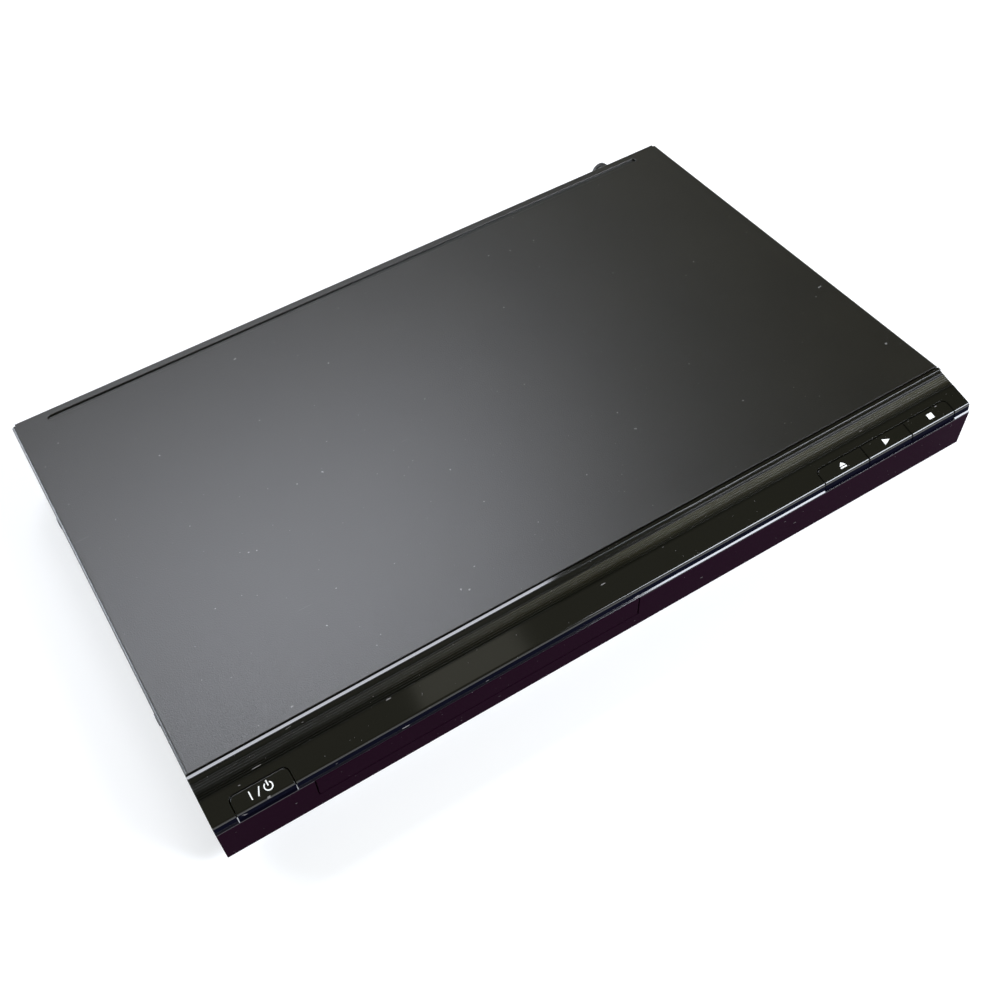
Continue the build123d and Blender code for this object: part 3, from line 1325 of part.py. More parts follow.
# case: top cover
cover_bottom = foot_height + 1.4
with BuildPart() as top_cover:
    block(-half_width, half_width, cover_front, body_depth, cover_bottom, body_height)
    folds = top_cover.edges().filter_by(Axis.Y).group_by(Axis.Z)[-1]
    fillet(folds, fold_round)
    fillet(top_cover.edges().filter_by(Axis.X).group_by(Axis.Z)[-1].sort_by(Axis.Y)[-1], fold_round * 0.7)
    block(-half_width + sheet, half_width - sheet, cover_front, body_depth - sheet, cover_bottom, cover_under,
          Mode.SUBTRACT)
    # rear flange: short, with longer tabs for its screws
    block(-half_width, half_width, body_depth - sheet, body_depth, cover_bottom, body_height - rear_flange,
          Mode.SUBTRACT)
    for screw_x in rear_screws_x:
        block(screw_x - rear_tab[0] / 2, screw_x + rear_tab[0] / 2, body_depth - sheet, body_depth,
              body_height - rear_tab[1], body_height - rear_flange)
        with BuildSketch(facing_front(body_depth)):
            with Locations((screw_x, rear_screw_height)):
                Circle(screw_radius + screw_clearance)
        extrude(amount=sheet, mode=Mode.SUBTRACT)
    # groove along the rear margin, with the sheet dished under it and a soft brink
    groove_front = body_depth - strip_depth
    block(-half_width + strip_end - sheet, half_width - strip_end + sheet, groove_front - sheet,
          groove_front + strip_width + sheet, body_height - strip_drop - sheet, body_height - sheet / 2)
    with BuildSketch(Plane.XY.offset(body_height - strip_drop)):
        with Locations((0, depth(groove_front + strip_width / 2))):
            SlotOverall(body_width - 2 * strip_end, strip_width)
    extrude(amount=strip_drop, mode=Mode.SUBTRACT)
    brink = top_cover.faces().sort_by(Axis.Z)[-1].inner_wires()
    fillet([edge for wire in brink for edge in wire.edges()], strip_round)
    # relief notches at the rear corners and the holes of the side screws
    for side in (-1, 1):
        block(side * half_width, side * (half_width - relief), body_depth - relief, body_depth, cover_bottom,
              body_height, Mode.SUBTRACT)
    for screw_y in side_screw_depths:
        with BuildSketch(facing_right(-half_width)):
            with Locations((depth(screw_y), side_screw_height)):
                Circle(screw_radius + screw_clearance)
        extrude(amount=body_width, mode=Mode.SUBTRACT)
top_cover.part.label = "top_cover"

with BuildPart() as feet:
    for side in (-1, 1):
        for place in foot_depths:
            post(side * foot_x, place, 0, foot_height, foot_radius)
    chamfer(feet.edges().filter_by(GeomType.CIRCLE).group_by(Axis.Z)[0], 0.8)
    for side in (-1, 1):
        for place in foot_depths:
            with BuildSketch():
                with Locations((side * foot_x, depth(place))):
                    Circle(foot_radius - 3)
                    Circle(foot_radius - 5.5, mode=Mode.SUBTRACT)
            extrude(amount=1.2, mode=Mode.SUBTRACT)
feet.part.label = "feet"

# fasteners
with BuildPart() as cover_screws:
    for side in (-1, 1):
        for screw_y in side_screw_depths:
            screw(Plane(origin=(side * half_width, depth(screw_y), side_screw_height), x_dir=(0, 1, 0),
                        z_dir=(side, 0, 0)), 4.0, low_head)
    for screw_x in rear_screws_x:
        screw(facing_rear(screw_x, body_depth, rear_screw_height), 4.0)
cover_screws.part.label = "cover_screws"

with BuildPart() as panel_screws:
    for screw_x in panel_screws_x:
        screw(facing_down(screw_x, panel_screw_depth, foot_height), 6.5)
    for screw_x in rear_foot_screws:
        screw(facing_down(screw_x, rear_foot_screw, foot_height), 4.0)
panel_screws.part.label = "panel_screws"

with BuildPart() as board_screws:
    for x, place in board_posts:
        screw(facing_up(x, place, board_top), 5.5)
    for post_x in key_posts:
        screw(facing_down(post_x, key_post_depth, key_board_top - board_thickness), 6.5)
board_screws.part.label = "board_screws"

with BuildPart() as loader_screws:
    for ear_x, ear_depth in frame_ears:
        screw(facing_up(ear_x, ear_depth, frame_deck), 5.0)
    for side in (-1, 1):
        for screw_y in bridge_screws_y:
            screw(facing_up(loader_x + side * bridge_screw_x, screw_y, bridge_height + bridge_thickness), 7.0)
loader_screws.part.label = "loader_screws"

# leads that lie still inside: a flat one to the keys and a bundle between the two boards
with BuildPart() as key_cable:
    lead_x = main_board_right - 17
    lead_half = 5.0
    lead = 0.4
    lead_front = key_board_far
    lead_high = key_board_top + lead
    lead_low = board_top + 3.0
    lead_end = lead_low + lead
    lead_run = [(depth(lead_front - 3), lead_high), (depth(lead_front + 4), lead_high),
                (depth(main_board_front - 2), lead_end), (depth(main_board_front + 7), lead_end)]
    with BuildSketch(facing_right(lead_x - lead_half)):
        polygon(lead_run + [(place, high - lead) for place, high in reversed(lead_run)])
    extrude(amount=2 * lead_half)
    block(lead_x - lead_half - 1, lead_x + lead_half + 1, main_board_front + 3, main_board_front + 7,
          board_top, lead_low)
key_cable.part.label = "key_cable"

with BuildPart() as supply_cable:
    wire_radius = 0.7
    wire_from = main_board_right - 6
    wire_to = power_board_left + 5
    wire_place = power_board_front + 46.0
    for wire in range(5):
        wire_y = depth(wire_place + wire * 2.0)
        with BuildLine() as wire_path:
            FilletPolyline((wire_from, wire_y, board_top + 5), (wire_from, wire_y, board_top + 12),
                           (wire_to, wire_y, board_top + 12), (wire_to, wire_y, board_top + 5), radius=4)
        with BuildSketch(Plane(origin=(wire_from, wire_y, board_top + 5), x_dir=(1, 0, 0), z_dir=(0, 0, 1))):
            Circle(wire_radius)
        sweep(path=wire_path.wires()[0])
    for x in (wire_from, wire_to):
        block(x - 2, x + 2, wire_place - 2, wire_place + 10, board_top, board_top + 5)
supply_cable.part.label = "supply_cable"

pieces = [front_panel.part, power_key, eject_key, play_key, stop_key, power_key_board.part,
          play_key_board.part, key_switches.part, remote_receiver.part, tray_door.part, disc_tray.part,
          loader_frame.part,
          tray_gear.part, pulley_gear.part, motor_pulley.part, drive_belt.part, loading_motor.part,
          sub_chassis.part, cam_slider.part, optical_deck.part, rubber_dampers.part, damper_screws.part,
          spindle_motor.part, spindle_shaft.part, turntable.part, turntable_pad.part, guide_rods.part,
          optical_pickup.part, lens_guard.part, objective_lens.part, sled_gear.part, sled_pinion.part,
          sled_motor.part, clamp_bridge.part, disc_clamper.part, clamper_yoke.part, main_board.part,
          power_board.part, board_chips.part, heat_sink.part, board_capacitors.part, transformer.part,
          mains_capacitor.part, filter_capacitors.part, fuse.part, line_filter.part, power_heat_sink.part,
          av_jack_block.part, jack_sleeves.part, cord_bushing.part, bottom_chassis.part, rear_panel.part,
          top_cover.part, feet.part, cover_screws.part, panel_screws.part, board_screws.part,
          loader_screws.part, key_cable.part, supply_cable.part]

os.makedirs("parts", exist_ok=True)
for piece in pieces:
    export_step(piece, "parts/" + piece.label + ".step")
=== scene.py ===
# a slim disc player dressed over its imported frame: finishes, prints, small parts, floor, light and camera
from math import cos, pi, radians, sin
import bmesh
import bpy
from mathutils import Matrix, Vector


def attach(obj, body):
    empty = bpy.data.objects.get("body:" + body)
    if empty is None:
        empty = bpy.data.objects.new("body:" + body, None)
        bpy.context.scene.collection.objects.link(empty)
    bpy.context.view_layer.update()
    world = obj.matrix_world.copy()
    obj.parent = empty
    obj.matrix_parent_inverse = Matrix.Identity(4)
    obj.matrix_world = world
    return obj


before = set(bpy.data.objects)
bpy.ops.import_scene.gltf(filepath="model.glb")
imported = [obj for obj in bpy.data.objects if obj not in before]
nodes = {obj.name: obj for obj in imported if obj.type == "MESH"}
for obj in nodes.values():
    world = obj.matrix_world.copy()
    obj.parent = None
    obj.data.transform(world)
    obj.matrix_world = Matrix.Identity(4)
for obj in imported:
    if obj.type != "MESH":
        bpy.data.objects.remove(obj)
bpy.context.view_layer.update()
scene = bpy.context.scene
mm = 0.001
print("frame loaded,", len(nodes), "nodes")


class Value:
    # a socket that takes part in sums: each operator adds one Math node
    def __init__(self, owner, socket):
        self.owner = owner
        self.socket = socket

    def combine(self, operation, first, second):
        return self.owner.node("ShaderNodeMath", {"operation": operation}, {0: first, 1: second})

    def other(self, name):
        # another output of the same node
        return Value(self.owner, self.socket.node.outputs[name])

    def __add__(self, other):
        return self.combine("ADD", self, other)

    __radd__ = __add__

    def __sub__(self, other):
        return self.combine("SUBTRACT", self, other)

    def __rsub__(self, other):
        return self.combine("SUBTRACT", other, self)

    def __mul__(self, other):
        return self.combine("MULTIPLY", self, other)

    __rmul__ = __mul__

    def __truediv__(self, other):
        return self.combine("DIVIDE", self, other)

    def __mod__(self, other):
        return self.combine("FLOORED_MODULO", self, other)

    def __gt__(self, other):
        return self.combine("GREATER_THAN", self, other)

    def __lt__(self, other):
        return self.combine("LESS_THAN", self, other)


class Tree:
    # a node tree being filled; node() adds any node and hands back one of its outputs
    def __init__(self, tree):
        self.tree = tree
        self.tree.nodes.clear()

    def node(self, kind, settings=None, inputs=None, output=0):
        made = self.tree.nodes.new(kind)
        for name, setting in (settings or {}).items():
            if name == "stops":
                fillRamp(made.color_ramp, setting)
            elif name == "ramp":
                made.color_ramp.interpolation = setting
            else:
                setattr(made, name, setting)
        for name, value in (inputs or {}).items():
            for link in value if isinstance(value, list) else [value]:
                if isinstance(link, Value):
                    self.tree.links.new(link.socket, made.inputs[name])
                else:
                    made.inputs[name].default_value = link
        return Value(self, made.outputs[output]) if made.outputs else None

    def vector(self, x, y, z):
        return self.node("ShaderNodeCombineXYZ", {}, {0: x, 1: y, 2: z})

    def split(self, vector):
        first = self.node("ShaderNodeSeparateXYZ", {}, {0: vector})
        return [first.other(index) for index in range(3)]

    def larger(self, first, second):
        return self.node("ShaderNodeMath", {"operation": "MAXIMUM"}, {0: first, 1: second})


class Finish(Tree):
    # a material, with the patterns and masks that this player's surfaces share
    def __init__(self, name):
        self.material = bpy.data.materials.new(name)
        self.material.use_nodes = True
        super().__init__(self.material.node_tree)
        self.place = self.node("ShaderNodeTexCoord", output="Object")
        self.softened = None

    def axes(self):
        return self.split(self.place)

    def noise(self, size, detail=2.0, stretch=None):
        # a soft pattern from 0 to 1 whose features are about size millimetres across
        place = self.place
        if stretch:
            place = self.node("ShaderNodeMapping", {}, {"Vector": place, "Scale": stretch})
        return self.node("ShaderNodeTexNoise", {}, {"Vector": place, "Scale": 1 / (size * mm), "Detail": detail})

    def cells(self, size, output="Distance", feature="F1"):
        return self.node("ShaderNodeTexVoronoi", {"feature": feature},
                         {"Vector": self.place, "Scale": 1 / (size * mm)}, output)

    def between(self, value, low, high, start=0.0, end=1.0):
        # start where value is at low or less, end where it is at high or more, smooth in the middle
        return self.node("ShaderNodeMapRange", {"interpolation_type": "SMOOTHSTEP"},
                         {"Value": value, "From Min": low, "From Max": high, "To Min": start, "To Max": end})

    def below(self, value, limit, fade):
        # 1 up to a limit and 0 from there on, with a fade, both in millimetres
        return self.between(value, limit * mm, (limit + fade) * mm, 1.0, 0.0)

    def band(self, value, low, high, soft):
        # 1 from low to high and 0 outside
        rise = self.between(value, low - soft, low + soft)
        return rise - self.between(value, high - soft, high + soft)

    def distance(self, value, centre):
        return self.node("ShaderNodeMath", {"operation": "ABSOLUTE"}, {0: value - centre})

    def mix(self, share, first, second):
        return self.node("ShaderNodeMix", {"data_type": "RGBA"}, {0: share, 6: opaque(first), 7: opaque(second)}, 2)

    def stripes(self, colours, share):
        # one colour after the other as share goes from 0 to 1
        stops = [(index / len(colours), colour) for index, colour in enumerate(colours)]
        return self.node("ShaderNodeValToRGB", {"ramp": "CONSTANT", "stops": stops}, {0: share})

    def upward(self):
        # 1 on faces that look up
        facing = self.node("ShaderNodeNewGeometry", output="Normal")
        return self.split(facing)[2] > 0.9

    def soft(self, radius):
        if self.softened is None:
            self.softened = self.node("ShaderNodeBevel", {"samples": 4}, {"Radius": radius * mm})
        return self.softened

    def edges(self, radius):
        # 1 along corners, 0 on open faces
        facing = self.node("ShaderNodeNewGeometry", output="Normal")
        turned = self.node("ShaderNodeVectorMath", {"operation": "DOT_PRODUCT"},
                           {0: self.soft(radius), 1: facing}, "Value")
        return self.between(turned, 0.82, 0.99, 1.0, 0.0)

    def dust(self, size, threshold):
        return self.between(self.noise(size, 1), threshold, threshold + 0.03)

    def surface(self, colour, roughness, bump=None, relief=0.05, edge=0.0, **others):
        # the shader: relief is the bump's height in millimetres, edge the radius that softens corners
        inputs = {"Base Color": opaque(colour), "Roughness": roughness}
        inputs.update({name.replace("_", " "): value for name, value in others.items()})
        normal = self.soft(edge) if edge else None
        if bump is not None:
            bumpInputs = {"Height": bump, "Distance": relief * mm, "Strength": 1.0}
            if normal:
                bumpInputs["Normal"] = normal
            normal = self.node("ShaderNodeBump", {}, bumpInputs)
        if normal:
            inputs["Normal"] = normal
        return self.node("ShaderNodeBsdfPrincipled", {}, inputs)

    def close(self, shader):
        self.node("ShaderNodeOutputMaterial", {}, {"Surface": shader})
        return self.material

    def coat(self, *values, **others):
        # the whole material from one shader
        return self.close(self.surface(*values, **others))


class Repeater(Tree):
    # a geometry tree that puts one shape on every point of a host mesh; sizes are its named inputs
    def __init__(self, name, *sizes):
        self.group = bpy.data.node_groups.new(name, "GeometryNodeTree")
        self.group.interface.new_socket(name="Geometry", in_out="INPUT", socket_type="NodeSocketGeometry")
        self.identifiers = {}
        for size in sizes + ("Material",):
            kind = size if size == "Material" else "Int" if size == "Seed" else "Float"
            made = self.group.interface.new_socket(name=size, in_out="INPUT", socket_type="NodeSocket" + kind)
            self.identifiers[size] = made.identifier
        self.group.interface.new_socket(name="Geometry", in_out="OUTPUT", socket_type="NodeSocketGeometry")
        super().__init__(self.group)
        self.host = self.node("NodeGroupInput", output="Geometry")

    def size(self, name):
        return self.host.other(name)

    def sizes(self, *names):
        return [self.size(name) for name in names]

    def box(self, centre, size):
        made = self.node("GeometryNodeMeshCube", {}, {"Size": self.vector(*size)})
        return self.moved(made, centre)

    def drum(self, centre, radius, height, sides, turn=(0.0, 0.0, 0.0)):
        made = self.node("GeometryNodeMeshCylinder", {}, {"Vertices": sides, "Radius": radius, "Depth": height})
        return self.moved(made, centre, turn)

    def moved(self, shape, centre, turn=(0.0, 0.0, 0.0)):
        return self.node("GeometryNodeTransform", {},
                         {"Geometry": shape, "Translation": self.vector(*centre), "Rotation": turn})

    def joined(self, *shapes):
        return self.node("GeometryNodeJoinGeometry", {}, {"Geometry": list(shapes)})

    def stored(self, name):
        return self.node("GeometryNodeInputNamedAttribute", {"data_type": "FLOAT_VECTOR"}, {"Name": name})

    def scattered(self):
        # points spread over the host's faces, each turned by a quarter or not
        points = self.node("GeometryNodeDistributePointsOnFaces", {"distribute_method": "POISSON"},
                           {"Mesh": self.host, "Distance Min": self.size("Apart"), "Density Max": 400000.0,
                            "Seed": self.size("Seed")})
        draw = self.node("FunctionNodeRandomValue", {"data_type": "FLOAT"}, {2: 0.0, 3: 2.0, 8: self.size("Seed")}, 1)
        quarter = (draw > 1.0) * (pi / 2)
        return points, self.vector(0.0, 0.0, quarter)

    def finishWith(self, points, shape, turn, scale=None):
        inputs = {"Points": points, "Instance": shape,
                  "Rotation": self.node("FunctionNodeEulerToRotation", {}, {0: turn})}
        if scale:
            inputs["Scale"] = scale
        placed = self.node("GeometryNodeInstanceOnPoints", {}, inputs)
        plain = self.node("GeometryNodeRealizeInstances", {}, {"Geometry": placed})
        dressed = self.node("GeometryNodeSetMaterial", {}, {"Geometry": plain, "Material": self.size("Material")})
        self.node("NodeGroupOutput", {}, {"Geometry": dressed})


def opaque(colour):
    return tuple(colour) + (1.0,) if isinstance(colour, (tuple, list)) and len(colour) == 3 else colour


def fillRamp(ramp, stops):
    # stops are (position, colour) pairs from left to right
    while len(ramp.elements) < len(stops):
        ramp.elements.new(1.0)
    for element, (position, colour) in zip(ramp.elements, stops):
        element.position = position
        element.color = opaque(colour)


def dress(material, *names):
    for name in names:
        slots = nodes[name].data.materials
        slots.clear()
        slots.append(material)


def dressAll(looks, make):
    # one material for each look, on the nodes that it names
    for name, look in looks.items():
        dress(make(name, look), *look["nodes"])


def added(name, data):
    made = bpy.data.objects.new(name, data)
    scene.collection.objects.link(made)
    return made


def meshObject(mesh, name, material):
    data = bpy.data.meshes.new(name)
    mesh.to_mesh(data)
    mesh.free()
    data.materials.append(material)
    return added(name, data)


def pieceFrom(mesh, name, body, material):
    piece = meshObject(mesh, name, material)
    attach(piece, body)


def solids(name):
    # the lowest and highest corners, in millimetres, of each separate solid of a node, from left to right
    mesh = bmesh.new()
    mesh.from_mesh(nodes[name].data)
    bmesh.ops.remove_doubles(mesh, verts=mesh.verts, dist=0.00001)
    left, found = set(mesh.verts), []
    while left:
        reach = [left.pop()]
        grown = list(reach)
        while reach:
            for edge in reach.pop().link_edges:
                for vert in edge.verts:
                    if vert in left:
                        left.discard(vert)
                        reach.append(vert)
                        grown.append(vert)
        found.append([[pick(vert.co[axis] for vert in grown) / mm for axis in range(3)] for pick in (min, max)])
    mesh.free()
    return sorted(found)


def hostMesh(name, points, faces=(), turns=None, scales=None):
    # points in millimetres; turns and scales become attributes that the tree reads
    data = bpy.data.meshes.new(name)
    data.from_pydata([Vector(point) * mm for point in points], [], list(faces))
    for kind, rows in (("turn", turns), ("scale", scales)):
        if rows:
            stored = data.attributes.new(kind, "FLOAT_VECTOR", "POINT")
            for item, row in zip(stored.data, rows):
                item.vector = row
    return data


def grow(name, body, tree, host, look, material):
    # runs a tree on a host mesh, with the look's lengths and seed as inputs, and keeps a plain mesh
    piece = added(name, host)
    modifier = piece.modifiers.new("repeat", "NODES")
    modifier.node_group = tree.group
    given = {"Material": material, "Seed": look.get("seed")}
    for size, identifier in tree.identifiers.items():
        modifier[identifier] = given[size] if size in given else look[size.lower()] * mm
    bpy.context.view_layer.update()
    grown = piece.evaluated_get(bpy.context.evaluated_depsgraph_get())
    plain = bpy.data.meshes.new_from_object(grown)
    piece.modifiers.clear()
    piece.data = plain
    plain.name = name
    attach(piece, body)


# painted steel cover: satin black with a fine orange-peel grain, dust and hairline scratches, and a pale painted
# highlight on the edges along its front and left side
coverLook = {"dark": (0.0022, 0.0019, 0.0009), "light": (0.0056, 0.0050, 0.0026), "roughness": 0.36,
             "grain": 0.5, "relief": 0.05, "edge": 0.25, "worn": (0.05, 0.05, 0.05), "dust": (0.22, 0.22, 0.21),
             "paintedHighlight": (0.30, 0.31, 0.33), "paintedHighlightFront": -91.5, "paintedHighlightSide": -159.6, "paintedHighlightFade": 0.5,
             "cloud": 38.0, "smear": 9.0}


def coverPaint(look):
    finish = Finish("cover paint")
    grain = finish.noise(look["grain"], 4)
    cloud = finish.noise(look["cloud"], 4)
    smear = finish.noise(look["smear"], 3, (1.0, 0.35, 1.0))
    colour = finish.mix(finish.between(grain * 0.7 + cloud * 0.3, 0.35, 0.65), look["dark"], look["light"])
    dust = finish.dust(2.2, 0.80) + finish.dust(0.9, 0.80) * 0.7
    colour = finish.mix(dust * 0.55, colour, look["dust"])
    scratch = finish.between(finish.noise(1.1, 1, (0.06, 1.0, 1.0)), 0.79, 0.81)
    x, y = finish.axes()[:2]
    # painted highlight: the edges along the front and the left side get a pale bluish colour that stands in for the
    # light these rounded edges catch
    paintedHighlightZone = finish.below(y, look["paintedHighlightFront"], look["paintedHighlightFade"])
    paintedHighlightZone = paintedHighlightZone + finish.below(x, look["paintedHighlightSide"], look["paintedHighlightFade"])
    edges = finish.edges(look["edge"])
    worn = edges * 0.35
    colour = finish.mix(worn, finish.mix(scratch * 0.3, colour, look["worn"]), look["worn"])
    colour = finish.mix(edges * paintedHighlightZone * 0.6, colour, look["paintedHighlight"])
    rough = (cloud - 0.5) * 0.012 + (look["roughness"] - 0.01) + (grain - 0.5) * 0.18 + (smear - 0.5) * 0.01
    rough = rough - worn * 0.1
    return finish.coat(colour, rough, grain, look["relief"], look["edge"])


dress(coverPaint(coverLook), "top_cover")
print("cover dressed")

# gloss front: mirror black on the slope, the upper edge and the nose, dull navy between, maroon below, and a painted
# olive sheen on the ribs
glossLook = {"slope": (0.0040, 0.0040, 0.0028), "band": (0.003, 0.0032, 0.0085), "face": (0.0105, 0.0022, 0.0078),
             "ribs": (0.036, 0.0335, 0.0180), "ribsFrom": -150.0, "ribsTo": 70.0, "ribsLeft": 0.0,
             "edgeHeight": 31.6, "noseHeight": 29.05, "noseHalf": 0.4,
             "ribFront": -99.5, "ribRear": -93.9, "ribRise": 5.4, "roughness": 0.065, "ribRoughness": 0.25,
             "dimmed": 3.0, "dimmedFade": 0.6, "dimmedShare": 0.75, "fade": 0.2, "noseFade": 0.1, "faceFade": 0.4,
             "wave": 60.0, "dust": (0.4, 0.38, 0.38), "edge": 0.07, "dullSpecular": 0.002}


def glossBlack(name, look, ribs=False):
    finish = Finish(name)
    x, y, z = finish.axes()
    upper = finish.between(z, look["edgeHeight"] * mm, (look["edgeHeight"] + look["fade"]) * mm)
    nose = look["noseHeight"] * mm
    onNose = finish.band(z, nose - look["noseHalf"] * mm, nose + look["noseHalf"] * mm, look["noseFade"] * mm)
    lower = finish.between(z, nose - look["faceFade"] * mm, nose)
    colour = finish.mix(upper, finish.mix(lower, look["face"], look["band"]), look["slope"])
    rough = look["roughness"]
    if ribs:
        # painted sheen: an olive colour on the ribs, strongest next to the rim, fading forward and brighter towards
        # the right, stands in for the light that the ribs reflect
        sheen = finish.between(y, look["ribFront"] * mm, (look["ribFront"] + look["ribRise"]) * mm)
        sheen = sheen * finish.below(y, look["ribRear"], 0.3) * upper
        paintedLightShare = finish.between(x, look["ribsFrom"] * mm, look["ribsTo"] * mm, look["ribsLeft"], 1.0)
        colour = finish.mix(sheen * paintedLightShare * (finish.noise(14, 2) * 0.5 + 0.6), colour, look["ribs"])
        rough = sheen * (look["ribRoughness"] - look["roughness"]) + look["roughness"]
    lint = finish.between(finish.noise(1.3, 1, (0.22, 1.0, 1.0)), 0.79, 0.81)
    marks = finish.dust(0.8, 0.785) + lint
    scratch = finish.between(finish.noise(0.5, 2, (0.05, 1.0, 1.0)), 0.7, 0.73)
    colour = finish.mix(marks * 0.4, colour, look["dust"])
    rough = rough + marks * 0.4 + (0.0 if ribs else scratch * 0.1)
    wave = finish.noise(look["wave"], 1)
    bright = finish.surface(colour, rough, wave, 0.2, look["edge"])
    dull = finish.surface(colour, rough + 0.12, wave, 0.2, look["edge"], Specular_IOR_Level=look["dullSpecular"])
    if ribs:
        # the first rib ridges mirror less than the slope before them
        dimmed = finish.band(y, look["ribFront"] * mm, (look["ribFront"] + look["dimmed"]) * mm,
                             look["dimmedFade"] * mm)
        upper = upper * (1 - dimmed * look["dimmedShare"])
    return finish.close(finish.node("ShaderNodeMixShader", {}, {0: finish.larger(upper, onNose), 1: dull, 2: bright}))


dress(glossBlack("panel gloss", glossLook, ribs=True), "front_panel")
dress(glossBlack("key gloss", glossLook), "power_key", "eject_key", "play_key", "stop_key", "tray_door")
print("front dressed")

# moulded plastics, chip epoxy and rear paint: fine grain, slow colour drift, paler corners, a little dust
mouldings = {
    "tray black": {"nodes": ["disc_tray"], "dark": (0.012, 0.012, 0.013), "light": (0.018, 0.018, 0.019),
                   "roughness": 0.46, "grain": 0.22, "relief": 0.014, "edge": 0.25, "wear": 0.35},
    "frame black": {"nodes": ["loader_frame", "sub_chassis"], "dark": (0.017, 0.017, 0.018),
                    "light": (0.026, 0.026, 0.027), "roughness": 0.52, "grain": 0.3, "relief": 0.02,
                    "edge": 0.2, "wear": 0.4},
    "slider white": {"nodes": ["cam_slider"], "dark": (0.60, 0.59, 0.54), "light": (0.70, 0.69, 0.64),
                     "roughness": 0.4, "grain": 0.5, "relief": 0.008, "edge": 0.15, "wear": 0.15},
    "clamper black": {"nodes": ["disc_clamper", "turntable"], "dark": (0.02, 0.02, 0.021),
                      "light": (0.028, 0.028, 0.03), "roughness": 0.34, "grain": 0.25, "relief": 0.008,
                      "edge": 0.2, "wear": 0.35},
    "guard black": {"nodes": ["lens_guard", "cord_bushing"], "dark": (0.011, 0.011, 0.012),
                    "light": (0.017, 0.017, 0.018), "roughness": 0.38, "grain": 0.3, "relief": 0.012,
                    "edge": 0.2, "wear": 0.3},
    "gear cream": {"nodes": ["tray_gear", "pulley_gear", "sled_gear"], "dark": (0.66, 0.63, 0.53),
                   "light": (0.74, 0.72, 0.63), "roughness": 0.33, "grain": 0.4, "relief": 0.006,
                   "edge": 0.1, "wear": 0.1},
    "pulley white": {"nodes": ["motor_pulley", "sled_pinion"], "dark": (0.70, 0.70, 0.68),
                     "light": (0.78, 0.78, 0.76), "roughness": 0.3, "grain": 0.3, "relief": 0.004,
                     "edge": 0.08, "wear": 0.1},
    "foot rubber": {"nodes": ["feet"], "dark": (0.014, 0.014, 0.014), "light": (0.022, 0.022, 0.022),
                    "roughness": 0.78, "grain": 0.5, "relief": 0.03, "edge": 0.3, "wear": 0.5},
    "damper rubber": {"nodes": ["rubber_dampers"], "dark": (0.05, 0.05, 0.056), "light": (0.07, 0.07, 0.077),
                      "roughness": 0.7, "grain": 0.6, "relief": 0.03, "edge": 0.3, "wear": 0.2},
    "belt rubber": {"nodes": ["drive_belt", "turntable_pad"], "dark": (0.010, 0.010, 0.010),
                    "light": (0.017, 0.017, 0.017), "roughness": 0.66, "grain": 0.25, "relief": 0.02,
                    "edge": 0.1, "wear": 0.3},
    "receiver black": {"nodes": ["remote_receiver"], "dark": (0.012, 0.009, 0.012), "light": (0.018, 0.013, 0.017),
                       "roughness": 0.16, "grain": 0.5, "relief": 0.004, "edge": 0.3, "wear": 0.1},
    "rear paint": {"nodes": ["rear_panel"], "dark": (0.011, 0.011, 0.011), "light": (0.017, 0.017, 0.017),
                   "roughness": 0.4, "grain": 0.35, "relief": 0.006, "edge": 0.12, "wear": 0.4},
    "chip epoxy": {"nodes": ["board_chips"], "dark": (0.014, 0.014, 0.015), "light": (0.022, 0.022, 0.023),
                   "roughness": 0.5, "grain": 0.16, "relief": 0.01, "edge": 0.12, "wear": 0.25},
}


def moulded(name, look):
    finish = Finish(name)
    grain = finish.noise(look["grain"], 3)
    drift = finish.noise(26, 3)
    colour = finish.mix(finish.between(drift * 0.7 + grain * 0.3, 0.35, 0.65), look["dark"], look["light"])
    worn = finish.edges(look["edge"]) * look["wear"]
    paler = tuple(min(1.0, part * 1.7 + 0.02) for part in look["light"])
    dust = finish.dust(1.4, 0.80) * 0.25
    colour = finish.mix(dust, finish.mix(worn, colour, paler), (0.35, 0.34, 0.33))
    rough = grain * 0.08 + (look["roughness"] - 0.04) + dust * 0.3 - worn * 0.1
    return finish.coat(colour, rough, grain, look["relief"], look["edge"])


dressAll(mouldings, moulded)
print("mouldings dressed")

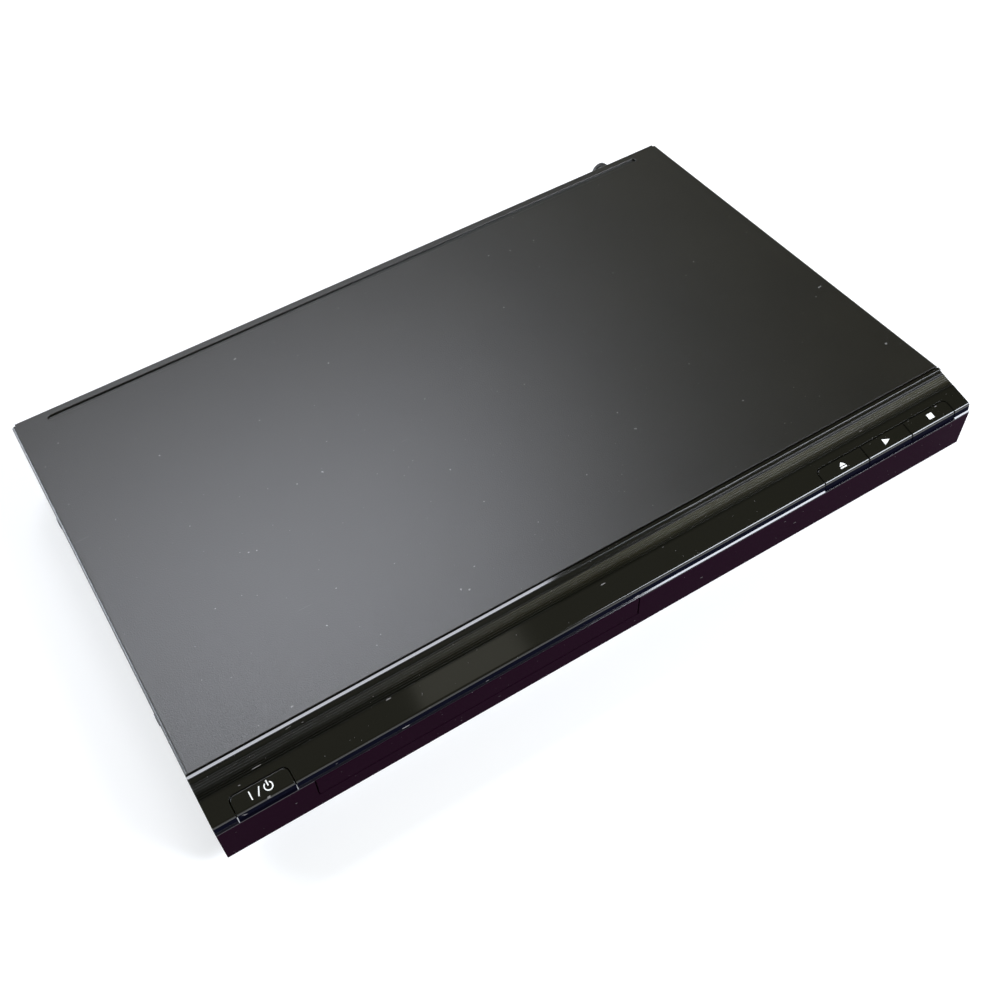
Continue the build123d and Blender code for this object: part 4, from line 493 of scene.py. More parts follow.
# bare, plated and painted metals: streaks along the drawing direction, dull clouds, rubbed corners
metals = {
    "clamp steel": {"nodes": ["clamp_bridge", "clamper_yoke", "optical_deck"], "dark": (0.42, 0.43, 0.44),
                    "light": (0.60, 0.61, 0.62), "roughness": 0.34, "grain": 1.2, "stretch": (0.08, 1.0, 1.0),
                    "relief": 0.004, "edge": 0.12},
    "screw zinc": {"nodes": ["board_screws", "damper_screws", "loader_screws"], "dark": (0.46, 0.46, 0.45),
                   "light": (0.66, 0.66, 0.64), "roughness": 0.28, "grain": 0.5, "stretch": (1.0, 1.0, 0.3),
                   "relief": 0.004, "edge": 0.08},
    "screw black": {"nodes": ["cover_screws", "panel_screws"], "dark": (0.045, 0.045, 0.05),
                    "light": (0.10, 0.10, 0.105), "roughness": 0.32, "grain": 0.5, "stretch": (1.0, 1.0, 0.3),
                    "relief": 0.004, "edge": 0.1},
    "rod chrome": {"nodes": ["guide_rods", "spindle_shaft"], "dark": (0.72, 0.73, 0.75), "light": (0.82, 0.83, 0.84),
                   "roughness": 0.1, "grain": 0.8, "stretch": (1.0, 0.1, 1.0), "relief": 0.001, "edge": 0.1},
    "motor steel": {"nodes": ["loading_motor", "spindle_motor", "sled_motor"], "dark": (0.50, 0.50, 0.48),
                    "light": (0.66, 0.66, 0.63), "roughness": 0.27, "grain": 1.5, "stretch": (1.0, 1.0, 0.1),
                    "relief": 0.003, "edge": 0.3},
    "sink aluminium": {"nodes": ["heat_sink", "power_heat_sink"], "dark": (0.62, 0.63, 0.64),
                       "light": (0.78, 0.79, 0.80), "roughness": 0.36, "grain": 0.9, "stretch": (1.0, 1.0, 0.06),
                       "relief": 0.006, "edge": 0.12},
    "pickup cast": {"nodes": ["optical_pickup"], "dark": (0.17, 0.17, 0.175), "light": (0.27, 0.27, 0.28),
                    "roughness": 0.45, "grain": 0.35, "stretch": None, "relief": 0.02, "edge": 0.25},
    "sleeve nickel": {"nodes": ["jack_sleeves"], "dark": (0.60, 0.585, 0.54), "light": (0.74, 0.725, 0.69),
                      "roughness": 0.18, "grain": 0.6, "stretch": (1.0, 0.15, 1.0), "relief": 0.002, "edge": 0.15},
}


def metal(name, look):
    finish = Finish(name)
    streaks = finish.noise(look["grain"], 4, look["stretch"])
    cloud = finish.noise(12, 3)
    colour = finish.mix(finish.between(streaks * 0.6 + cloud * 0.4, 0.32, 0.68), look["dark"], look["light"])
    worn = finish.edges(look["edge"]) * 0.3
    colour = finish.mix(worn, colour, tuple(min(0.95, part * 1.25 + 0.03) for part in look["light"]))
    rough = finish.between(cloud, 0.3, 0.7, look["roughness"] - 0.05, look["roughness"] + 0.07) + streaks * 0.06
    return finish.coat(colour, rough, streaks, look["relief"], look["edge"], Metallic=1.0)


dressAll(metals, metal)

# hot-dipped sheet of the pan: flat crystals of slightly different grey, with dull smears and finger marks
zincLook = {"crystal": 3.6, "dark": (0.40, 0.41, 0.42), "light": (0.62, 0.63, 0.64), "roughness": 0.33,
            "relief": 0.004, "edge": 0.1}


def zincSheet(look):
    finish = Finish("zinc sheet")
    crystal = finish.cells(look["crystal"], "Color")
    small = finish.cells(look["crystal"] * 0.4, "Color")
    tone = finish.between(crystal, 0.2, 0.8) * 0.7 + finish.between(small, 0.2, 0.8) * 0.3
    smear = finish.noise(16, 3, (0.3, 1.0, 1.0))
    colour = finish.mix(tone * 0.6 + smear * 0.4, look["dark"], look["light"])
    rough = tone * 0.14 + look["roughness"] + finish.between(smear, 0.55, 0.7) * 0.12
    grain = finish.noise(0.6, 3)
    return finish.coat(colour, rough, grain, look["relief"], look["edge"], Metallic=1.0)


dress(zincSheet(zincLook), "bottom_chassis")
print("metals dressed")

# sockets: one moulding each, whose collar beyond the rear panel carries the plug's colour
socketLook = {"first": 30.0, "pitch": 14.0, "panel": 97.6, "block": (0.02, 0.02, 0.021),
              "collars": [(0.62, 0.42, 0.02), (0.55, 0.55, 0.52), (0.45, 0.02, 0.02), (0.62, 0.16, 0.01)],
              "roughness": 0.3}


def socketPlastic(look):
    finish = Finish("socket plastic")
    x, y = finish.axes()[:2]
    collar = finish.stripes(look["collars"], (x / mm - look["first"]) / (look["pitch"] * len(look["collars"])))
    grain = finish.noise(0.4, 3)
    outside = y > (look["panel"] + 0.02) * mm
    colour = finish.mix(outside, look["block"], finish.mix(grain * 0.2, collar, (0.1, 0.1, 0.1)))
    return finish.coat(colour, grain * 0.1 + look["roughness"], grain, 0.008, 0.15)


dress(socketPlastic(socketLook), "av_jack_block")

# printed boards: solder mask over copper tracks, tinned pads, bare laminate for the cheaper boards
boards = {
    "board green": {"nodes": ["main_board"], "mask": (0.010, 0.075, 0.028), "track": (0.020, 0.125, 0.045),
                    "pad": (0.55, 0.54, 0.50), "pitch": 0.9, "block": 9.0, "roughness": 0.28},
    "board tan": {"nodes": ["power_board", "power_key_board", "play_key_board"], "mask": (0.42, 0.27, 0.11),
                  "track": (0.33, 0.21, 0.085), "pad": (0.62, 0.60, 0.55), "pitch": 2.8, "block": 15.0,
                  "roughness": 0.42},
}


def boardFinish(name, look):
    finish = Finish(name)
    x, y = finish.axes()[:2]
    lengthwise = finish.between(finish.cells(look["block"], "Color"), 0.45, 0.46)
    across = x * lengthwise + y * (1 - lengthwise)
    line = finish.distance((across / (look["pitch"] * mm)) % 1.0, 0.5) < 0.22
    used = finish.between(finish.noise(look["block"] * 0.8, 1), 0.46, 0.47)
    tracks = line * used
    pads = finish.between(finish.cells(look["pitch"] * 2.2), 0.17, 0.2, 1.0, 0.0) * (1 - used)
    fibre = finish.noise(0.7, 3, (1.0, 0.2, 1.0))
    colour = finish.mix(tracks, finish.mix(fibre * 0.25, look["mask"], look["track"]), look["track"])
    colour = finish.mix(pads, colour, look["pad"])
    rough = pads * -0.08 + look["roughness"] + fibre * 0.06
    return finish.coat(colour, rough, tracks * 0.6 + pads, 0.03, 0.08)


dressAll(boards, boardFinish)

# switches: black bodies with steel frames above and a brown stem
switchLook = {"stem": 27.0, "frame": 26.25, "body": (0.02, 0.02, 0.02), "steel": (0.55, 0.55, 0.54)}


def switchFinish(look):
    finish = Finish("switch parts")
    z = finish.axes()[2]
    grain = finish.noise(0.4, 3)
    steel = finish.band(z, look["frame"] * mm, look["stem"] * mm, 0.03 * mm)
    colour = finish.mix(steel, finish.mix(grain * 0.2, look["body"], (0.05, 0.04, 0.03)), look["steel"])
    return finish.coat(colour, grain * 0.1 + 0.35, grain, 0.006, 0.1, Metallic=steel)


dress(switchFinish(switchLook), "key_switches")

# capacitors: printed film sleeves, dark blue on the main board and black at the mains side
canLook = {"sleeve": (0.010, 0.014, 0.045), "shade": (0.006, 0.008, 0.028), "top": (0.66, 0.66, 0.65),
           "roughness": 0.25}


def canFinish(look):
    finish = Finish("can sleeve")
    film = finish.noise(3, 3)
    top = finish.upward()
    colour = finish.mix(top, finish.mix(film, look["sleeve"], look["shade"]), look["top"])
    return finish.coat(colour, film * 0.12 + look["roughness"], film, 0.02, 0.25, Metallic=top)


dress(canFinish(canLook), "board_capacitors", "filter_capacitors", "mains_capacitor")

# transformer and filter: sintered core, amber tape over the windings, black bobbin
coilLook = {"transformer": {"centre": 40.5, "half": 5.05, "bobbin": 15.7},
            "line_filter": {"centre": 70.5, "half": 3.05, "bobbin": 14.6},
            "core": (0.055, 0.052, 0.05), "tape": (0.52, 0.33, 0.02), "bobbinColour": (0.02, 0.02, 0.02)}


def coilFinish(name, look):
    finish = Finish(name + " finish")
    y, z = finish.axes()[1:]
    place = look[name]
    grain = finish.noise(0.35, 4)
    wraps = finish.noise(1.1, 2, (0.15, 0.15, 1.0))
    tape = finish.distance(y, place["centre"] * mm) > place["half"] * mm
    low = z < place["bobbin"] * mm
    colour = finish.mix(tape, finish.mix(grain * 0.5, look["core"], (0.09, 0.085, 0.08)),
                        finish.mix(wraps * 0.4, look["tape"], (0.32, 0.18, 0.01)))
    colour = finish.mix(low, colour, look["bobbinColour"])
    rough = tape * -0.25 + 0.62 + grain * 0.08
    return finish.coat(colour, rough, grain * (1 - tape) + wraps * tape, 0.03, 0.25)


for coil in ("transformer", "line_filter"):
    dress(coilFinish(coil, coilLook), coil)

# fuse: pale glass between nickel caps, held by two brass clips
fuseLook = {"middle": 106.0, "near": 59.9, "far": 69.1, "glass": (0.42, 0.46, 0.45), "metal": (0.70, 0.66, 0.56)}


def fuseFinish(look):
    finish = Finish("fuse glass and clips")
    x, y = finish.axes()[:2]
    glass = finish.band(y, look["near"] * mm, look["far"] * mm, 0.05 * mm)
    wire = finish.distance(x, look["middle"] * mm) < 0.25 * mm
    colour = finish.mix(glass, look["metal"], finish.mix(wire, look["glass"], (0.2, 0.2, 0.2)))
    tarnish = finish.noise(2.5, 3)
    colour = finish.mix(tarnish * 0.25, colour, (0.25, 0.22, 0.16))
    return finish.coat(colour, tarnish * 0.12 + 0.12, tarnish, 0.004, 0.1, Metallic=1 - glass)


dress(fuseFinish(fuseLook), "fuse")

# leads: a white flat one to the keys with grey cores, a bundle of coloured wires from the mains side
leadLooks = {
    "key_cable": {"axis": 0, "pitch": 1.25, "first": 68.0, "sheath": (0.62, 0.62, 0.60), "core": (0.36, 0.37, 0.38)},
    "supply_cable": {"axis": 1, "pitch": 2.0, "first": 39.5, "sheath": (0.02, 0.02, 0.02),
                     "wires": [(0.38, 0.03, 0.02), (0.02, 0.02, 0.02), (0.45, 0.30, 0.02), (0.55, 0.55, 0.53),
                               (0.03, 0.07, 0.28)]},
}


def leadFinish(name, look):
    finish = Finish(name + " finish")
    along = finish.axes()[look["axis"]]
    step = (along / mm - look["first"]) / look["pitch"]
    inside = finish.distance(step % 1.0, 0.5)
    if "core" in look:
        colour = finish.mix(finish.between(inside, 0.22, 0.3), look["core"], look["sheath"])
    else:
        wires = finish.stripes(look["wires"], step / len(look["wires"]))
        colour = finish.mix(finish.between(inside, 0.4, 0.47), wires, look["sheath"])
    soil = finish.noise(3, 3)
    colour = finish.mix(soil * 0.15, colour, (0.12, 0.12, 0.12))
    return finish.coat(colour, soil * 0.1 + 0.38, finish.between(inside, 0.3, 0.5), -0.12, 0.1)


for lead, leadLook in leadLooks.items():
    dress(leadFinish(lead, leadLook), lead)

# lens: coated glass, violet at the middle and amber towards the rim
lensLook = {"centre": (-60.8, -12.0), "middle": (0.10, 0.07, 0.22), "rim": (0.22, 0.15, 0.08), "radius": 3.0}


def lensFinish(look):
    finish = Finish("lens coating")
    x, y = finish.axes()[:2]
    across, along = x - look["centre"][0] * mm, y - look["centre"][1] * mm
    away = finish.node("ShaderNodeMath", {"operation": "SQRT"}, {0: across * across + along * along})
    colour = finish.mix(finish.between(away, 0.0, look["radius"] * mm), look["middle"], look["rim"])
    colour = finish.mix(finish.dust(0.3, 0.8) * 0.3, colour, (0.4, 0.4, 0.4))
    return finish.coat(colour, finish.noise(1.5, 2) * 0.04 + 0.03, Coat_Weight=1.0, Transmission_Weight=0.35)


dress(lensFinish(lensLook), "objective_lens")
print("electronics dressed")

# white prints on the keys
slopeLook = {"edgeInset": 0.9, "edgeHeight": 32.7, "slope": 15.0, "front": -109.5}
printLook = {"lift": 0.02, "thickness": 0.02, "depth": 4.1, "stroke": 0.42, "colour": (0.80, 0.80, 0.78),
             "power": -141.9, "eject": 98.9, "play": 120.4, "stop": 142.6}


def onSlope(x, along, away=0.0, look=slopeLook):
    # a point on the keys' slope: x across, along up the slope from the middle of the prints, away from it
    tilt = radians(look["slope"])
    ahead = (printLook["depth"] - look["edgeInset"]) / cos(tilt) + along
    y = look["front"] + look["edgeInset"] + ahead * cos(tilt) - away * sin(tilt)
    return Vector((x, y, look["edgeHeight"] + ahead * sin(tilt) + away * cos(tilt))) * mm


def printPiece(name, body, outlines, material):
    # thin raised shapes from closed outlines, each a list of (x, along) points, counterclockwise
    mesh = bmesh.new()
    for outline in outlines:
        low = [mesh.verts.new(onSlope(x, along, printLook["lift"])) for x, along in outline]
        high = [mesh.verts.new(onSlope(x, along, printLook["lift"] + printLook["thickness"]))
                for x, along in outline]
        mesh.faces.new(high)
        mesh.faces.new(list(reversed(low)))
        for index in range(len(outline)):
            after = (index + 1) % len(outline)
            mesh.faces.new((low[index], low[after], high[after], high[index]))
    bmesh.ops.recalc_face_normals(mesh, faces=mesh.faces)
    pieceFrom(mesh, name, body, material)


def bar(x, along, width, length, lean=0.0):
    # a straight stroke centred at a place, lean is its turn to the right in degrees
    turn = radians(lean)
    corners = [(-width / 2, -length / 2), (width / 2, -length / 2), (width / 2, length / 2), (-width / 2, length / 2)]
    return [(x + across * cos(turn) + up * sin(turn), along - across * sin(turn) + up * cos(turn))
            for across, up in corners]


def openRing(x, along, radius, stroke, gap, steps=28):
    # a ring's stroke in short pieces, open for gap degrees at its top
    first, last = radians(90 + gap / 2), radians(450 - gap / 2)
    angles = [first + (last - first) * step / steps for step in range(steps + 1)]
    outer, inner = radius + stroke / 2, radius - stroke / 2
    return [[(x + inner * cos(a), along + inner * sin(a)), (x + outer * cos(a), along + outer * sin(a)),
             (x + outer * cos(b), along + outer * sin(b)), (x + inner * cos(b), along + inner * sin(b))]
            for a, b in zip(angles, angles[1:])]


def printInk(look):
    finish = Finish("print ink")
    wear = finish.noise(0.25, 3)
    colour = finish.mix(wear * 0.2, look["colour"], (0.5, 0.5, 0.48))
    return finish.coat(colour, wear * 0.15 + 0.4)


ink = printInk(printLook)
stroke = printLook["stroke"]
power, eject, play, stop = (printLook[key] for key in ("power", "eject", "play", "stop"))
marks = {
    "power": [bar(power - 3.1, 0, stroke, 3.1), bar(power - 0.2, 0, stroke, 3.2, 24),
              bar(power + 3.2, 1.1, stroke, 1.9)] + openRing(power + 3.2, 0, 1.4, stroke, 64),
    "eject": [[(eject - 1.4, -0.2), (eject + 1.4, -0.2), (eject, 1.35)], bar(eject, -0.85, 2.8, 0.62)],
    "play": [[(play - 1.4, -1.35), (play + 1.6, 0), (play - 1.4, 1.35)]],
    "stop": [bar(stop, 0, 2.6, 2.4)],
}
for key, outlines in marks.items():
    printPiece(key + "_print", key + "_key", outlines, ink)
print("keys printed")

# chip legs: gull-wing pins along the sides of each chip
boardTop = 13.6
legLook = {"width": 0.36, "rise": 0.9, "foot": 0.75, "thick": 0.13, "shoulder": 0.4, "wide": 9.0, "pitch": 0.8,
           "coarsePitch": 1.27, "tin": (0.62, 0.61, 0.58)}


def plainMetal(name, colour, roughness):
    finish = Finish(name)
    cloud = finish.noise(1.5, 3)
    shade = tuple(part * 0.75 for part in colour)
    return finish.coat(finish.mix(cloud, colour, shade), cloud * 0.15 + roughness, cloud, 0.004, Metallic=1.0)


def plainPlastic(name, colour, roughness, edge=0.15):
    finish = Finish(name)
    grain = finish.noise(0.4, 3)
    shade = tuple(part * 0.7 for part in colour)
    worn = finish.edges(edge) * 0.3
    paler = tuple(min(1.0, part * 1.4 + 0.03) for part in colour)
    toned = finish.mix(worn, finish.mix(grain * 0.5, colour, shade), paler)
    return finish.coat(toned, grain * 0.1 + roughness, grain, 0.01, edge)


def legTree():
    tree = Repeater("chip leg", "Width", "Rise", "Foot", "Thick", "Shoulder")
    width, rise, foot, thick, shoulder = tree.sizes("Width", "Rise", "Foot", "Thick", "Shoulder")
    top = tree.box((shoulder * 0.5, 0.0, rise), (shoulder, width, thick))
    riser = tree.box((shoulder * 1.05, 0.0, rise * 0.5), (thick, width, rise))
    end = tree.box((foot * 0.5 + shoulder, 0.0, thick * 0.5), (foot, width, thick))
    tree.finishWith(tree.host, tree.joined(top, riser, end), tree.stored("turn"))
    return tree


tinned = plainMetal("tinned legs", legLook["tin"], 0.25)
legPlaces, legTurns = [], []
for low, high in solids("board_chips"):
    wide = high[0] - low[0]
    full = wide >= legLook["wide"]
    pitch = legLook["pitch"] if full else legLook["coarsePitch"]
    count = int((wide - 1.0) / pitch) + 1
    middleX, middleY = (low[0] + high[0]) / 2, (low[1] + high[1]) / 2
    for side in range(4 if full else 2):
        turn = side * pi / 2 if full else side * pi
        for index in range(count):
            shift = (index - (count - 1) / 2) * pitch
            legPlaces.append((middleX + cos(turn) * wide / 2 - sin(turn) * shift,
                              middleY + sin(turn) * wide / 2 + cos(turn) * shift, boardTop))
            legTurns.append((0, 0, turn))
grow("chip_legs", "case", legTree(), hostMesh("chip_legs", legPlaces, turns=legTurns), legLook, tinned)
print("chip legs:", len(legPlaces))

# small board parts: chip resistors and capacitors strewn over the free patches of the main board
smallLook = {"apart": 2.7, "seed": 7, "length": 1.7, "width": 0.9, "height": 0.5, "cap": 0.32,
             "body": (0.10, 0.075, 0.05), "patches": [(23, 12, 37, 30), (40, 24, 67, 32), (40, 34, 54, 45),
                                                      (23, 36, 28, 60), (44, -29, 65, -6), (67, -27, 82, -9),
                                                      (30, 50, 53, 65), (58, 56, 72, 66), (66, 8, 78, 25),
                                                      (30, 76, 78, 83)]}


def smallTree(name, caps):
    tree = Repeater(name, "Apart", "Seed", "Length", "Width", "Height", "Cap")
    length, width, height, cap = tree.sizes("Length", "Width", "Height", "Cap")
    points, turn = tree.scattered()
    if caps:
        ends = [tree.box(((length - cap) * (0.5 * side), 0.0, height * 0.5), (cap, width, height))
                for side in (-1, 1)]
        shape = tree.joined(*ends)
    else:
        shape = tree.box((0.0, 0.0, height * 0.5), (length - cap * 2.0, width * 0.98, height * 0.94))
    tree.finishWith(points, shape, turn)
    return tree


def patchHost(name, patches, z):
    points, faces = [], []
    for x0, y0, x1, y1 in patches:
        faces.append(tuple(range(len(points), len(points) + 4)))
        points += [(x0, y0, z), (x1, y0, z), (x1, y1, z), (x0, y1, z)]
    return hostMesh(name, points, faces)


ceramic = plainPlastic("part ceramic", smallLook["body"], 0.45)
for partName, caps, partFinish, partSlot in (("small_parts", False, ceramic, "chip_black"),
                                             ("small_part_caps", True, tinned, "jack_metal")):
    grow(partName, "case", smallTree(partName, caps), patchHost(partName, smallLook["patches"], boardTop),
         smallLook, partFinish)

# solder points under the two large boards
solderLook = {"apart": 3.4, "seed": 3, "radius": 0.75, "height": 0.55, "colour": (0.66, 0.66, 0.64), "bottom": 12.0,
              "patches": [(26, -33, 80, 84), (104, 4, 144, 80)]}


def solderTree():
    tree = Repeater("solder point", "Apart", "Seed", "Radius", "Height")
    points, turn = tree.scattered()
    radius, height = tree.sizes("Radius", "Height")
    dome = tree.node("GeometryNodeMeshCone", {}, {"Vertices": 10, "Radius Top": radius,
                                                  "Radius Bottom": radius * 0.35, "Depth": height})
    tree.finishWith(points, tree.moved(dome, (0.0, 0.0, height * -1.0)), turn)
    return tree


grow("solder_points", "case", solderTree(), patchHost("solder_points", solderLook["patches"], solderLook["bottom"]),
     solderLook, plainMetal("solder", solderLook["colour"], 0.2))

# tops of the capacitors: an aluminium disc with a scored vent
topLook = {"disc": 0.80, "thick": 0.22, "score": 0.07, "colour": (0.70, 0.70, 0.69)}


def topTree():
    tree = Repeater("can top", "Disc", "Thick", "Score")
    disc, thick, score = tree.sizes("Disc", "Thick", "Score")
    plate = tree.drum((0.0, 0.0, thick * 0.5), disc, thick, 24)
    lines = [tree.moved(tree.box((disc * 0.35, 0.0, thick), (disc * 0.7, score, thick * 0.4)), (0.0, 0.0, 0.0),
                        (0.0, 0.0, radians(turn))) for turn in (90, 210, 330)]
    tree.finishWith(tree.host, tree.joined(plate, *lines), tree.stored("turn"), tree.stored("scale"))
    return tree


canPlaces, canScales = [], []
for canNode in ("board_capacitors", "filter_capacitors", "mains_capacitor"):
    for low, high in solids(canNode):
        canPlaces.append(((low[0] + high[0]) / 2, (low[1] + high[1]) / 2, high[2]))
        radius = (high[0] - low[0]) / 2
        canScales.append((radius, radius, 1))
grow("can_tops", "case", topTree(),
     hostMesh("can_tops", canPlaces, turns=[(0, 0, 0.7)] * len(canPlaces), scales=canScales),
     topLook, plainMetal("can metal", topLook["colour"], 0.3))

# axial diodes and resistors of the power board: bodies, bands and wire ends
axialLook = {"radius": 1.15, "length": 5.0, "wire": 0.32, "reach": 9.0, "lift": 1.7, "places":
             [(114.5, 56.0, 90), (118.5, 56.0, 90), (122.5, 56.0, 90), (126.5, 56.0, 90), (130.5, 56.0, 90),
              (142.0, 35.0, 0), (142.0, 39.5, 0), (142.0, 44.0, 0), (104.0, 33.5, 90), (108.0, 19.5, 0),
              (120.0, 2.4, 0), (131.0, 2.4, 0)],
             "body": (0.018, 0.018, 0.018), "band": (0.60, 0.60, 0.58), "wireColour": (0.64, 0.60, 0.55)}


def axialTree(part):
    sizes = ("Radius", "Length", "Wire", "Reach", "Lift")
    tree = Repeater("axial " + part, *sizes)
    radius, length, wire, reach, lift = tree.sizes(*sizes)
    lying = (0.0, pi / 2, 0.0)
    if part == "bodies":
        ends = [tree.drum((length * (0.36 * side), 0.0, lift), radius * 1.06, length * 0.2, 14, lying)
                for side in (-1, 1)]
        shape = tree.joined(tree.drum((0.0, 0.0, lift), radius * 0.94, length * 0.9, 14, lying), *ends)
    elif part == "bands":
        shape = tree.drum((length * 0.36, 0.0, lift), radius * 1.09, length * 0.09, 14, lying)
    else:
        legs = [tree.drum((reach * (0.5 * side), 0.0, lift * 0.5), wire, lift * 1.1, 6) for side in (-1, 1)]
        shape = tree.joined(tree.drum((0.0, 0.0, lift), wire, reach, 6, lying), *legs)
    tree.finishWith(tree.host, shape, tree.stored("turn"))
    return tree


axialFinishes = {"bodies": (plainPlastic("diode body", axialLook["body"], 0.35), "chip_black"),
                 "bands": (plainPlastic("diode band", axialLook["band"], 0.4), "can_sleeve"),
                 "wires": (plainMetal("wire ends", axialLook["wireColour"], 0.25), "jack_metal")}
for part, (partFinish, partSlot) in axialFinishes.items():
    host = hostMesh("axial_" + part, [(x, y, boardTop) for x, y, turn in axialLook["places"]],
                    turns=[(0, 0, radians(turn)) for x, y, turn in axialLook["places"]])
    grow("axial_" + part, "case", axialTree(part), host, axialLook, partFinish)
print("board parts grown")

# ring choke: enamelled wire round a grey core, standing on the power board
chokeLook = {"centre": (105.0, 45.0), "ring": 3.9, "wire": 0.42, "turns": 17, "wound": (20, 320), "loop": 2.5,
             "lift": 3.2, "core": (1.5, 2.0), "copper": (0.50, 0.17, 0.05), "grey": (0.16, 0.20, 0.17)}


def loopTree():
    tree = Repeater("wire loop", "Loop", "Wire")
    path, section = (tree.node("GeometryNodeCurvePrimitiveCircle", {"mode": "RADIUS"},
                               {"Resolution": steps, "Radius": tree.size(size)})
                     for steps, size in ((12, "Loop"), (6, "Wire")))
    wire = tree.node("GeometryNodeCurveToMesh", {}, {"Curve": path, "Profile Curve": section})
    tree.finishWith(tree.host, wire, tree.stored("turn"))
    return tree


def ringCore(look):
    # the ring's own body: a rectangular section turned about an upright axis
    mesh = bmesh.new()
    half, high = look["core"]
    section = [(-half, -high), (half, -high), (half, high), (-half, high)]
    rows = []
    for step in range(36):
        angle = 2 * pi * step / 36
        rows.append([mesh.verts.new(Vector((look["centre"][0] + (look["ring"] + out) * cos(angle),
                                            look["centre"][1] + (look["ring"] + out) * sin(angle),
                                            boardTop + look["lift"] + up)) * mm) for out, up in section])
    for row, after in zip(rows, rows[1:] + rows[:1]):
        for index in range(4):
            mesh.faces.new((row[index], after[index], after[(index + 1) % 4], row[(index + 1) % 4]))
    bmesh.ops.recalc_face_normals(mesh, faces=mesh.faces)
    return mesh


first, spread = chokeLook["wound"]
loopAngles = [radians(first + spread * index / (chokeLook["turns"] - 1)) for index in range(chokeLook["turns"])]
loopPlaces = [(chokeLook["centre"][0] + chokeLook["ring"] * cos(angle),
               chokeLook["centre"][1] + chokeLook["ring"] * sin(angle), boardTop + chokeLook["lift"])
              for angle in loopAngles]
loopHost = hostMesh("choke_wire", loopPlaces, turns=[(pi / 2, 0, angle) for angle in loopAngles])
grow("choke_wire", "case", loopTree(), loopHost, chokeLook, plainMetal("enamelled copper", chokeLook["copper"], 0.22))
pieceFrom(ringCore(chokeLook), "choke_core", "case", plainPlastic("choke powder", chokeLook["grey"], 0.6))

# white pin headers along the main board's inner edge
headerLook = {"x": (16.8, 21.6), "spans": [(-9.0, 9.0), (13.0, 23.0), (28.0, 34.0)], "high": 5.2, "wall": 0.7,
              "base": 1.6, "pitch": 2.0, "pin": 0.5, "height": 3.2, "nylon": (0.66, 0.65, 0.60)}


def boxShell(mesh, low, high, wall, base):
    # a header's open-topped trough: its floor, then its left, right, front and rear walls
    (left, near, bottom), (right, far, top) = low, high
    floor = bottom + base
    for first, second in ((low, (right, far, floor)),
                          ((left, near, floor), (left + wall, far, top)),
                          ((right - wall, near, floor), high),
                          ((left + wall, near, floor), (right - wall, near + wall, top)),
                          ((left + wall, far - wall, floor), (right - wall, far, top))):
        addBox(mesh, first, second)


def addBox(mesh, low, high):
    made = bmesh.ops.create_cube(mesh, size=1.0)["verts"]
    middle = (Vector(low) + Vector(high)) / 2 * mm
    spread = (Vector(high) - Vector(low)) * mm
    for vert in made:
        vert.co = Vector([middle[axis] + vert.co[axis] * spread[axis] for axis in range(3)])
    return made


def pinTree():
    tree = Repeater("header pin", "Pin", "Height")
    pin, height = tree.sizes("Pin", "Height")
    shank = tree.box((0.0, 0.0, height * 0.5), (pin, pin, height))
    tip = tree.node("GeometryNodeMeshCone", {}, {"Vertices": 4, "Radius Top": pin * 0.2, "Radius Bottom": pin * 0.7,
                                                 "Depth": pin * 0.6})
    tree.finishWith(tree.host, tree.joined(shank, tree.moved(tip, (0.0, 0.0, height), (0.0, 0.0, pi / 4))),
                    tree.stored("turn"))
    return tree


headers, pinPlaces = bmesh.new(), []
for near, far in headerLook["spans"]:
    boxShell(headers, (headerLook["x"][0], near, boardTop), (headerLook["x"][1], far, boardTop + headerLook["high"]),
             headerLook["wall"], headerLook["base"])
    count = int((far - near - 2.0) / headerLook["pitch"]) + 1
    for index in range(count):
        shift = (index - (count - 1) / 2) * headerLook["pitch"]
        pinPlaces.append((sum(headerLook["x"]) / 2, (near + far) / 2 + shift, boardTop + headerLook["base"] - 0.2))
pieceFrom(headers, "lead_headers", "case", plainPlastic("header nylon", headerLook["nylon"], 0.4))
grow("header_pins", "case", pinTree(), hostMesh("header_pins", pinPlaces, turns=[(0, 0, 0)] * len(pinPlaces)),
     headerLook, tinned)

# two regulators screwed to the power board's heat sink
regulatorLook = {"x": (108.0, 120.5), "y": (18.2, 22.4), "z": (18.6, 27.6), "width": 10.0,
                 "tab": (27.6, 32.6, 1.2), "legs": (2.4, 2.54, 0.7), "legFront": 1.8, "legThick": 0.5,
                 "round": 0.4, "epoxy": (0.02, 0.02, 0.021)}
regulators, tabs = bmesh.new(), bmesh.new()
(near, far), (bottom, top) = regulatorLook["y"], regulatorLook["z"]
low, high, thick = regulatorLook["tab"]
firstLeg, legPitch, legWide = regulatorLook["legs"]
legNear = near + regulatorLook["legFront"]
for left in regulatorLook["x"]:
    right = left + regulatorLook["width"]
    block = addBox(regulators, (left, near, bottom), (right, far, top))
    bmesh.ops.bevel(regulators, geom=list({edge for vert in block for edge in vert.link_edges}),
                    offset=regulatorLook["round"] * mm, segments=2, affect="EDGES")
    addBox(tabs, (left, far - thick, low), (right, far, high))
    for index in range(3):
        leg = left + firstLeg + index * legPitch
        addBox(tabs, (leg, legNear, boardTop), (leg + legWide, legNear + regulatorLook["legThick"], bottom))
epoxy = plainPlastic("regulator epoxy", regulatorLook["epoxy"], 0.4)
pieceFrom(regulators, "regulators", "case", epoxy)
pieceFrom(tabs, "regulator_tabs", "case", tinned)
print("power parts placed")

